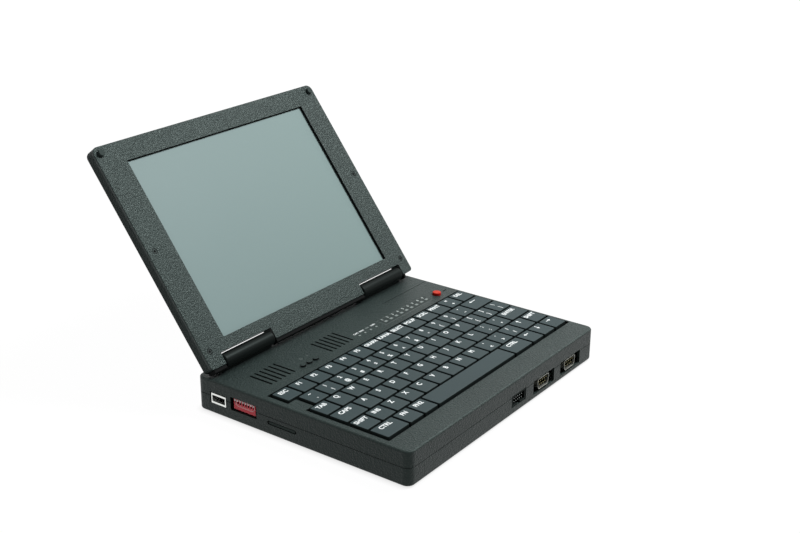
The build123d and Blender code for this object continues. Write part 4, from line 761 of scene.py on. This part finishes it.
ROWS = [
    (0, [("escape_key", 1, "ESC")]
     + run("function_keys", ["F1", "F2", "F3", "F4", "F5", "GRAPH", "KANA", "SELECT", "PGUP",
                             "SCRL", "PRNT", ("=", "+")])
     + [("delete_key", 1, "DEL")]),
    (WIDE - 1, run("number_keys", [("~", "`"), ("1", "!"), ("2", "@"), ("3", "#"), ("4", "$"),
                                   ("5", "%"), ("6", "^"), ("7", "&"), ("8", "*"), ("9", "("),
                                   ("0", ")"), ("-", "_")])
     + [("backspace_key", WIDE, 180)]),
    (0, [("tab_key", 1, "TAB")]
     + run("top_letter_keys", list("QWERTYUIOP") + [("[", "{"), ("]", "}"), ("\\", "|")])),
    (0, [("caps_key", WIDE, "CAPS")]
     + run("home_letter_keys", list("ASDFGHJKL") + [(";", ":"), ("'", '"')])
     + [("enter_key", WIDE, "ENTER")]),
    (0, [("shift_key_left", 1, "SHIFT")]
     + run("bottom_letter_keys", ["INS"] + list("ZXCVBNM") + [(",", "<"), (".", ">"), ("/", "?")])
     + [("arrow_key_up", 1, 90), ("shift_key_right", 1, "SHIFT")]),
    (0, [("ctrl_key_left", WIDE, "CTRL"), ("fn_keys", 1, "FN"), ("fn_keys", 1, "FN2"),
         ("space_key", 6, ""), ("ctrl_key_right", WIDE, "CTRL"), ("arrow_key_left", 1, 180),
         ("arrow_key_down", 1, 270), ("arrow_key_right", 1, 0)]),
]
print("rows:", len(ROWS), "keys:", sum(len(keys) for _, keys in ROWS))

# %% Print the legends
LETTER_H = 4.15 * MM
LETTER_NARROW = 0.86
SIGN_H = 3.8 * MM
WORD_H = 3.8 * MM
WORD_NARROW = 0.98
WORD_SIDE = 1.45 * MM
LETTER_IN = 4.9 * MM
PAIR_IN = (4.6 * MM, 12.4 * MM)
ARROW_L = 5.4 * MM
LONG_ARROW_L = 8.0 * MM
ARROW_HEAD = 3.0 * MM


def legend_shapes(legend, x, back, width):
    """Placed meshes for one key's legend: back is the Y of the key's back edge."""
    if legend == "":
        return []
    near_back = Matrix.Translation((x, back - LETTER_IN, KEY_TOP))
    if isinstance(legend, int):
        length = LONG_ARROW_L if width > PITCH_X else ARROW_L
        return [(arrow_mesh(length, ARROW_HEAD, legend), near_back)]
    if isinstance(legend, tuple):
        return [(text_mesh(sign, SIGN_H, LETTER_NARROW),
                 Matrix.Translation((x, back - inset, KEY_TOP)))
                for sign, inset in zip(legend, PAIR_IN)]
    if len(legend) == 1:
        return [(text_mesh(legend, LETTER_H, LETTER_NARROW), near_back)]
    word = text_mesh(legend, WORD_H, WORD_NARROW, widest=width - 2 * WORD_SIDE)
    return [(word, near_back)]


printed = {}
for row, (start, keys) in enumerate(ROWS):
    left = KEYS_LEFT + start * PITCH_X
    back = KEYS_BACK - row * PITCH_Y
    for body, units, legend in keys:
        width = units * PITCH_X
        shapes = legend_shapes(legend, left + width / 2, back, width)
        printed.setdefault(body, []).extend(shapes)
        left += width
for body, shapes in printed.items():
    if shapes:
        join_piece("legends_" + body, shapes, legend_white, body)
print("legends on", len([s for s in printed.values() if s]), "bodies, row ends at", round(left, 4))

# %% [markdown]
# ## Marks on the deck
# Behind the keys the deck has small printed marks: four short words over the left windows,
# and a digit over each window of the strip. They are plain and generic. The strip lies a
# tenth of a millimetre below the deck, and a thin pale line runs round it. A short dark line
# lies to the right of the power button. The three oval windows further left are the places
# of three small rubber buttons. Their bodies are black and their tops shine like the deck,
# so only their near sides stand out: the black of the bodies paints the shade in the gap
# round each button.

# %% Deck marks
LOCK_X = 12.0 * MM
LOCK_PITCH = 7.15 * MM
LOCK_WORDS = ("CAPS", "KANA", "NUM", "CARD")
DIM_WORD = "NUM"
LOCK_WORD_W = 5.6 * MM
DIM_WORD_W = 3.6 * MM
LOCK_WORD_H = 1.7 * MM
LOCK_WINDOW = (2.4 * MM, 1.6 * MM)
STRIP_X = 62.0 * MM
STRIP_Y = 43.9 * MM
STRIP_W = 64.0 * MM
STRIP_D = 10.5 * MM
STRIP_LINE = 0.4 * MM
STRIP_PITCH = 7.0 * MM
STRIP_COUNT = 9
STRIP_WINDOW = (3.0 * MM, 2.3 * MM)
FIRST_WINDOW_X = 35.4 * MM
DIGIT_H = 2.5 * MM
MARKS_Y = 47.1 * MM
WINDOWS_Y = 43.0 * MM
STRIP_TOP = 27.4 * MM
BUTTON_MARK = (4.6 * MM, 1.1 * MM)
BUTTON_MARK_X = 115.9 * MM
BUTTON_MARK_Y = 41.6 * MM


def on_deck(x, y, z):
    """A level place on the deck."""
    return Matrix.Translation((x, y, z))


words, dim_words, digits, lamps_under = [], [], [], []
for i, word in enumerate(LOCK_WORDS):
    x = LOCK_X + (i - 1.5) * LOCK_PITCH
    some, widest = (dim_words, DIM_WORD_W) if word == DIM_WORD else (words, LOCK_WORD_W)
    some.append((text_mesh(word, LOCK_WORD_H, widest=widest), on_deck(x, MARKS_Y, DECK)))
    lamps_under.append((bar_mesh(*LOCK_WINDOW), on_deck(x, WINDOWS_Y, STRIP_TOP)))
join_piece("lock_words", words, legend_white, "base")
join_piece("dim_lock_word", dim_words, mark_dim, "base")
for i in range(STRIP_COUNT):
    x = FIRST_WINDOW_X + i * STRIP_PITCH
    digits.append((text_mesh(str(i + 1), DIGIT_H), on_deck(x, MARKS_Y, STRIP_TOP)))
    lamps_under.append((bar_mesh(*STRIP_WINDOW), on_deck(x, WINDOWS_Y, STRIP_TOP)))
join_piece("strip_digits", digits, mark_pale, "base")
join_piece("lamp_windows", lamps_under, mark_dim, "base")
border = outline_mesh(STRIP_W - STRIP_LINE, STRIP_D - STRIP_LINE, STRIP_LINE)
join_piece("strip_border", [(border, on_deck(STRIP_X, STRIP_Y, STRIP_TOP))],
           line_grey, "base")
mark_at = on_deck(BUTTON_MARK_X, BUTTON_MARK_Y, DECK)
join_piece("button_mark", [(bar_mesh(*BUTTON_MARK), mark_at)], painted_shade_black,
           "base")
print("deck marks:", len(words) + len(digits) + len(lamps_under))

# %% Rubber buttons in the oval windows
OVAL_X = -59.8 * MM
OVAL_PITCH = 7.3 * MM
OVAL_W = 4.9 * MM
OVAL_D = 3.6 * MM
OVAL_LOW = 27.4 * MM
OVAL_HIGH = 28.8 * MM
OVAL_EDGE = 0.15 * MM
OVAL_STEPS = 10
SIGN_Y = 52.3 * MM
SIGN_SIZE = 2.6 * MM
SIGN_SHIFT = 0.8 * MM


def oval_corners(width, height):
    """The outline of a bar with round ends."""
    r = height / 2
    reach = width / 2 - r
    corners = []
    for side, first in ((1, -math.pi / 2), (-1, math.pi / 2)):
        for i in range(OVAL_STEPS + 1):
            turn = first + math.pi * i / OVAL_STEPS
            corners.append((side * reach + r * math.cos(turn), r * math.sin(turn)))
    return corners


def oval_mesh(width, height):
    """A flat bar with round ends."""
    corners = oval_corners(width, height)
    return flat_shape(corners, [tuple(range(len(corners)))])


def thick_oval(width, height, depth):
    """A bar with round ends and real depth, centred on its middle."""
    shape = oval_mesh(width, height)
    shape.transform(Matrix.Diagonal((1.0, 1.0, depth / (2 * PRINT_T), 1.0)))
    return shape


bodies, tops, signs = [], [], []
for i, sign in zip((-1, 0, 1), "-O+"):
    x = OVAL_X + i * OVAL_PITCH
    body = thick_oval(OVAL_W, OVAL_D, OVAL_HIGH - OVAL_LOW)
    bodies.append((body, on_deck(x, WINDOWS_Y, (OVAL_LOW + OVAL_HIGH) / 2)))
    top = oval_mesh(OVAL_W - 2 * OVAL_EDGE, OVAL_D - 2 * OVAL_EDGE)
    tops.append((top, on_deck(x, WINDOWS_Y, OVAL_HIGH)))
    signs.append((text_mesh(sign, SIGN_SIZE), on_deck(x + SIGN_SHIFT, SIGN_Y, DECK)))
# The black bodies paint the shade in the gap round each button; their tops are case plastic.
join_piece("oval_buttons", bodies, painted_shade_black, "base")
join_piece("oval_tops", tops, case_grain, "base")
join_piece("oval_signs", signs, line_grey, "base")
print("rubber buttons:", len(bodies), "signs:", len(signs))

# %% [markdown]
# ## Switch block figures
# The red switch block carries pale figures under its levers, one for each way, as such
# blocks do. A pale ring round them and the levers is a painted highlight, for the glare on
# the rim of the recess that holds them. Figures and ring lie on the block's front, which
# looks to the left, so the print plane is turned: its X runs towards the front and its Y
# runs up.

# %% Switch block figures
SWITCH_FACE_IN = 1.1 * MM
SWITCH_FACE_X = LEFT_WALL + SWITCH_FACE_IN
SWITCH_Y = 50.2 * MM
SWITCH_PITCH = 2.54 * MM
SWITCH_WAYS = 8
FIGURE_H = 1.1 * MM
FIGURE_Z = 14.5 * MM
SWITCH_GLARE_RING_Y = 49.7 * MM
SWITCH_GLARE_RING_Z = 16.15 * MM
SWITCH_GLARE_RING_L = 18.4 * MM
SWITCH_GLARE_RING_H = 5.8 * MM
SWITCH_GLARE_RING_LINE = 0.65 * MM


def on_left_face(x, y, z):
    """A place on a face that looks to the left, seen from outside: right is towards the front."""
    turn = Matrix(((0, -1, 0), (0, 0, 1), (-1, 0, 0))).transposed().to_4x4()
    return Matrix.Translation((x, y, z)) @ turn


def oval_ring(width, height, line):
    """A flat ring with round ends."""
    outer = oval_corners(width, height)
    inner = oval_corners(width - 2 * line, height - 2 * line)
    return flat_shape(outer + inner, hoop_faces(len(outer)))


figures = []
for i in range(SWITCH_WAYS):
    y = SWITCH_Y + ((SWITCH_WAYS - 1) / 2 - i) * SWITCH_PITCH
    figures.append((text_mesh(str(i + 1), FIGURE_H), on_left_face(SWITCH_FACE_X, y, FIGURE_Z)))
# The pale ring is a painted highlight, for glare on the recess rim.
figures.append((oval_ring(SWITCH_GLARE_RING_L, SWITCH_GLARE_RING_H, SWITCH_GLARE_RING_LINE),
                on_left_face(SWITCH_FACE_X, SWITCH_GLARE_RING_Y, SWITCH_GLARE_RING_Z)))
join_piece("switch_figures_and_glare", figures, figure_and_glare_pink, "base")
print("switch figures and ring:", len(figures))

# %% [markdown]
# ## Card blank
# The card slot is not open: a plain plastic blank fills its socket, as such slots are
# shipped, and only its end shows, just behind the wall. It is a bar with round ends, with
# real depth. A thin black sheet round it closes the slot and paints the shade in the gap,
# so the gap reads as a dark ring.

# %% Card blank
CARD_Y = 14.5 * MM
CARD_Z = 10.6 * MM
CARD_BLANK_L = 24.2 * MM
CARD_BLANK_H = 1.7 * MM
CARD_BLANK_DEPTH = 3.0 * MM
CARD_BLANK_BEHIND_WALL = 0.15 * MM
CARD_SLOT_L = 26.9 * MM
CARD_SLOT_H = 2.9 * MM
CARD_GAP_SHADE_DEPTH = 0.8 * MM

blank = thick_oval(CARD_BLANK_L, CARD_BLANK_H, CARD_BLANK_DEPTH)
blank_x = LEFT_WALL + CARD_BLANK_BEHIND_WALL + CARD_BLANK_DEPTH / 2
join_piece("card_blank", [(blank, on_left_face(blank_x, CARD_Y, CARD_Z))], bumper_grey,
           "base")
# A black sheet that paints the shade in the slot's gap.
gap_shade_at = on_left_face(LEFT_WALL + CARD_GAP_SHADE_DEPTH, CARD_Y, CARD_Z)
join_piece("card_gap_shade", [(oval_mesh(CARD_SLOT_L, CARD_SLOT_H), gap_shade_at)], painted_shade_black,
           "base")
print("card blank", CARD_BLANK_L / MM, "by", CARD_BLANK_H / MM, "mm")

# %% [markdown]
# ## Small pieces on the lid
# The display sits behind the bezel. A thin black ring lines the window's inner wall and
# paints the shade on it, so it shows as a crisp black band at the right. It is one thin
# closed ring. A narrow black bar on the display's face along the top paints the shade under
# the window's top wall. The four bezel screws have a dark six-sided mark in their heads,
# which paints the shade in their sockets, and a thin dark ring round them, which paints the
# shade in the gap round each head.

# %% Painted shade in the display window
WINDOW_X = 0.75 * MM
WINDOW_LOW = 15.7 * MM
WINDOW_W = 199.1 * MM
WINDOW_H = 149.4 * MM
BEZEL_T = 2.3 * MM
WALL_SHADE_FIT = 0.03 * MM
WALL_SHADE_T = 0.12 * MM
WALL_SHADE_BELOW_FACE = 0.25 * MM
TOP_SHADE_H = 0.5 * MM


def ring_mesh(width, height, wall, low, high):
    """A closed rectangular ring with this wall, from a low to a high level."""
    outer = corners_of(width, height)
    inner = corners_of(width - 2 * wall, height - 2 * wall)
    points = [(x, y, z) for z in (low, high) for x, y in outer + inner]
    faces = []
    for i in range(4):
        j = (i + 1) % 4
        faces += [(8 + i, 8 + j, 12 + j, 12 + i), (4 + i, 4 + j, j, i), (i, j, 8 + j, 8 + i),
                  (12 + i, 12 + j, 4 + j, 4 + i)]
    return new_mesh("ring", points, faces)


# A black ring on the window's inner wall: painted shade.
wall_shade_depth = BEZEL_T - WALL_SHADE_FIT - WALL_SHADE_BELOW_FACE
wall_shade = ring_mesh(WINDOW_W - 2 * WALL_SHADE_FIT, WINDOW_H - 2 * WALL_SHADE_FIT, WALL_SHADE_T, 0.0,
                   wall_shade_depth)
wall_shade_at = on_lid(WINDOW_X, WINDOW_LOW + WINDOW_H / 2, FACE - BEZEL_T + WALL_SHADE_FIT)
join_piece("window_wall_shade", [(wall_shade, wall_shade_at)], painted_shade_black, "lid")
# A black bar along the top of the display's face: painted shade under the window's top wall.
inside_w = WINDOW_W - 2 * WALL_SHADE_FIT - 2 * WALL_SHADE_T
top_shade_up = WINDOW_LOW + WINDOW_H - WALL_SHADE_FIT - WALL_SHADE_T - TOP_SHADE_H / 2
top_shade_at = on_lid(WINDOW_X, top_shade_up, FACE - BEZEL_T)
join_piece("window_top_shade", [(bar_mesh(inside_w, TOP_SHADE_H), top_shade_at)],
           painted_shade_black, "lid")
print("wall_shade", WINDOW_W / MM, "by", WINDOW_H / MM, "mm")

# %% [markdown]
# ## Painted shade under the lid
# Under the lid's lower edge a black bar paints the shade in the gap between the lid and the
# deck. It is round about the hinge axis, so it stays half a millimetre above the deck however
# far the lid is open, and it closes the gap that would else let light through. It runs
# between the barrels and outside them.

# %% Painted shade bar under the lid
SHADE_BAR_R = 6.45 * MM
SHADE_BAR_TOP = -3.1 * MM
SHADE_BAR_FRONT = 3.4 * MM
SHADE_BAR_BACK = -4.6 * MM
SHADE_BAR_STEPS = 12
SHADE_BAR_SPANS = ((-121.2, -108.8), (-53.4, 55.8), (111.2, 113.5))


def shade_bar_mesh(left, right):
    """A bar along the hinge axis that is flat on top and round below."""
    first, last = math.asin(SHADE_BAR_FRONT / SHADE_BAR_R), math.asin(SHADE_BAR_BACK / SHADE_BAR_R)
    section = [(SHADE_BAR_TOP, SHADE_BAR_FRONT)]
    for i in range(SHADE_BAR_STEPS + 1):
        turn = first + (last - first) * i / SHADE_BAR_STEPS
        section.append((-SHADE_BAR_R * math.cos(turn), SHADE_BAR_R * math.sin(turn)))
    section.append((SHADE_BAR_TOP, SHADE_BAR_BACK))
    count = len(section)
    points = [(x, up, out) for x in (left, right) for up, out in section]
    faces = [tuple(range(count)), tuple(range(count, 2 * count))]
    return new_mesh("shade_bar", points, faces + hoop_faces(count))


# Black bars that paint the shade under the lid's lower edge.
shade_bars = [(shade_bar_mesh(left * MM, right * MM), lid_place) for left, right in SHADE_BAR_SPANS]
join_piece("lid_gap_shade", shade_bars, painted_shade_black, "lid")
print("lip in", len(shade_bars), "lengths")

# %% Painted shade in the screw heads
SCREW_X = 117.2 * MM
SCREW_UPS = (10.4 * MM, 93.9 * MM)
HEAD_BELOW_FACE = 0.2 * MM
SOCKET_R = 1.25 * MM
SCREW_SHADE_RING_W = 4.7 * MM
SCREW_SHADE_RING_LINE = 0.5 * MM


def socket_mesh():
    """A flat hexagon."""
    turns = [math.radians(60 * i) for i in range(6)]
    corners = [(SOCKET_R * math.cos(turn), SOCKET_R * math.sin(turn)) for turn in turns]
    return flat_shape(corners, [tuple(range(6))])


# A dark hexagon in each head paints the shade in its socket, and a dark ring paints the shade in
# the gap round the head.
screw_places = [(side * SCREW_X, up) for side in (-1, 1) for up in SCREW_UPS]
sockets = [(socket_mesh(), on_lid(*place, FACE - HEAD_BELOW_FACE)) for place in screw_places]
sockets += [(oval_ring(SCREW_SHADE_RING_W, SCREW_SHADE_RING_W, SCREW_SHADE_RING_LINE), on_lid(*place, FACE))
            for place in screw_places]
join_piece("lid_screw_shades", sockets, painted_shade_black, "lid")
print("screw sockets and rings:", len(sockets))

# %% [markdown]
# ## Seam
# The upper and lower halves of the case meet in a small V-shaped groove. A real seam looks
# almost black, because light hardly gets in. A narrow black band just inside the groove
# gives that line on all four sides. It stops at the openings that cut the seam.

# %% Dark band in the seam
SEAM_Z = 15.0 * MM
SEAM_INSIDE = 0.06 * MM
SEAM_BAND_H = 0.44 * MM
SEAM_BAND_T = 0.15 * MM
CASE_X = 125.0 * MM
CASE_Y = 96.0 * MM
CORNER_R = 6.0 * MM
CORNER_STEPS = 8
CASE_CORNERS = ((1, 1, 0), (-1, 1, 90), (-1, -1, 180), (1, -1, 270))
LEFT_STOPS = ((-90.0, 37.6), (63.4, 66.6), (83.4, 90.0))
FRONT_STOPS = ((-119.0, 2.0), (22.2, 32.6), (63.8, 72.6), (103.8, 119.0))


def seam_band(path):
    """A thin standing band along a path of places and outward directions."""
    points, faces = [], []
    for x, y, out_x, out_y in path:
        for inside in (SEAM_INSIDE, SEAM_INSIDE + SEAM_BAND_T):
            for level in (-1, 1):
                z = SEAM_Z + level * SEAM_BAND_H / 2
                points.append((x - out_x * inside, y - out_y * inside, z))
    for i in range(len(path) - 1):
        a, b = 4 * i, 4 * i + 4
        faces += [(a, b, b + 1, a + 1), (a + 2, a + 3, b + 3, b + 2),
                  (a + 1, b + 1, b + 3, a + 3), (a, a + 2, b + 2, b)]
    last = 4 * (len(path) - 1)
    faces += [(0, 1, 3, 2), (last, last + 2, last + 3, last + 1)]
    return new_mesh("band", points, faces), Matrix.Identity(4)


bands = [seam_band([(-CASE_X, y * MM, -1, 0) for y in reversed(stops)]) for stops in LEFT_STOPS]
bands += [seam_band([(x * MM, -CASE_Y, 0, -1) for x in stops]) for stops in FRONT_STOPS]
bands.append(seam_band([(CASE_X, y, 1, 0) for y in (CORNER_R - CASE_Y, CASE_Y - CORNER_R)]))
bands.append(seam_band([(x, CASE_Y, 0, 1) for x in (CASE_X - CORNER_R, CORNER_R - CASE_X)]))
for side_x, side_y, first in CASE_CORNERS:
    path = []
    for i in range(CORNER_STEPS + 1):
        turn = math.radians(first + 90 * i / CORNER_STEPS)
        out_x, out_y = math.cos(turn), math.sin(turn)
        path.append((side_x * (CASE_X - CORNER_R) + CORNER_R * out_x,
                     side_y * (CASE_Y - CORNER_R) + CORNER_R * out_y, out_x, out_y))
    bands.append(seam_band(path))
join_piece("seam_band", bands, painted_shade_black, "base")
print("seam bands:", len(bands))

# %% [markdown]
# ## Studio
# The picture stands on pure white. The floor is painted a light grey, which sets how much
# light it throws up at the standing sides, and Light Path lifts it to white for the camera,
# and for glossy and transmission rays, so that metal and gloss see the same white. Where the
# case comes close to the floor, less of that white is mixed in, which paints a soft contact
# shadow there.
# The light that falls on the object comes from one soft lamp, high at its front right, and
# an even dim world: the lid's face has a sheen, the front is dim and the left side is dark.

# %% Floor and background
FLOOR_WHITE = 0.62
FLOOR_SEEN_WHITE = 0.95
SEEN_STRENGTH = 1.04
SHADOW_REACH = (0.45, 0.95)
WORLD_LIGHT = 0.15
CONTACT_REACH = 0.005
CONTACT_WHITE = 0.74
FLOOR_HALF = 14.0


def seen_directly(tree):
    """1 for camera, glossy and transmission rays, and 0 for the light that falls on things."""
    path = add(tree, "ShaderNodeLightPath")
    seen = math_node(tree, "MAXIMUM", path.outputs["Is Camera Ray"], path.outputs["Is Glossy Ray"])
    return math_node(tree, "MAXIMUM", seen, path.outputs["Is Transmission Ray"])


def build_floor():
    """The floor: plain paint for light, mostly white for what sees it, painted contact shadow."""
    material, tree, shader = start_material("studio_floor", Roughness=1.0, Specular_IOR_Level=0.0)
    shader.inputs["Base Color"].default_value = (FLOOR_WHITE, FLOOR_WHITE, FLOOR_WHITE, 1)
    place = add(tree, "ShaderNodeTexCoord")
    away = add(tree, "ShaderNodeVectorMath", operation="LENGTH")
    tree.links.new(place.outputs["Object"], away.inputs[0])
    fade = add(tree, "ShaderNodeMapRange", interpolation_type="SMOOTHSTEP")
    tree.links.new(away.outputs["Value"], fade.inputs["Value"])
    for label, value in zip(("From Min", "From Max", "To Min", "To Max"),
                            (*SHADOW_REACH, FLOOR_SEEN_WHITE, 1.0)):
        fade.inputs[label].default_value = value
    # Less white near the case: a painted contact shadow.
    near = add(tree, "ShaderNodeAmbientOcclusion", samples=8, Distance=CONTACT_REACH)
    painted_contact_shadow = remap(tree, near.outputs["AO"], CONTACT_WHITE, 1.0)
    white_part = math_node(tree, "MULTIPLY", fade.outputs["Result"], painted_contact_shadow)
    share = math_node(tree, "MULTIPLY", seen_directly(tree), white_part)
    white = add(tree, "ShaderNodeEmission", Strength=SEEN_STRENGTH)
    mix = tree.nodes.new("ShaderNodeMixShader")
    tree.links.new(share, mix.inputs[0])
    tree.links.new(shader.outputs[0], mix.inputs[1])
    tree.links.new(white.outputs[0], mix.inputs[2])
    tree.links.new(mix.outputs[0], tree.nodes["Material Output"].inputs["Surface"])
    corners = [(x, y, 0) for x, y in corners_of(2 * FLOOR_HALF, 2 * FLOOR_HALF)]
    mesh = new_mesh("studio_floor", corners, [(0, 1, 2, 3)])
    mesh.materials.append(material)
    floor = new_object("studio_floor", mesh)
    return floor


def build_world():
    """Even soft light for the object, and plain white for whatever sees the background."""
    world = bpy.data.worlds.new("studio_world")
    world.use_nodes = True
    tree = world.node_tree
    tree.nodes.clear()
    end = tree.nodes.new("ShaderNodeOutputWorld")
    light = add(tree, "ShaderNodeBackground", Strength=WORLD_LIGHT)
    seen_as = add(tree, "ShaderNodeBackground", Strength=1.0)
    for node in (light, seen_as):
        node.inputs["Color"].default_value = (1, 1, 1, 1)
    mix = tree.nodes.new("ShaderNodeMixShader")
    tree.links.new(seen_directly(tree), mix.inputs[0])
    tree.links.new(light.outputs[0], mix.inputs[1])
    tree.links.new(seen_as.outputs[0], mix.inputs[2])
    tree.links.new(mix.outputs[0], end.inputs["Surface"])
    bpy.context.scene.world = world
    return world


floor = build_floor()
world = build_world()
print("stage:", floor.name, world.name)

# %% Lamp
LAMP_PLACE = (0.80, -0.58, 1.42)
LAMP_AIM = (0, 0, 0.05)
LAMP_SIZE = 0.5
LAMP_POWER = 35


def soft_lamp(name, place, aim, size, power):
    """A square soft lamp that points at a place."""
    data = bpy.data.lights.new(name, "AREA")
    data.size = size
    data.energy = power
    lamp = new_object(name, data)
    lamp.location = place
    lamp.rotation_euler = (Vector(aim) - Vector(place)).to_track_quat("-Z", "Y").to_euler()
    return lamp


key_lamp = soft_lamp("key_lamp", LAMP_PLACE, LAMP_AIM, LAMP_SIZE, LAMP_POWER)
print("lamp:", key_lamp.name, key_lamp.data.energy, "W")
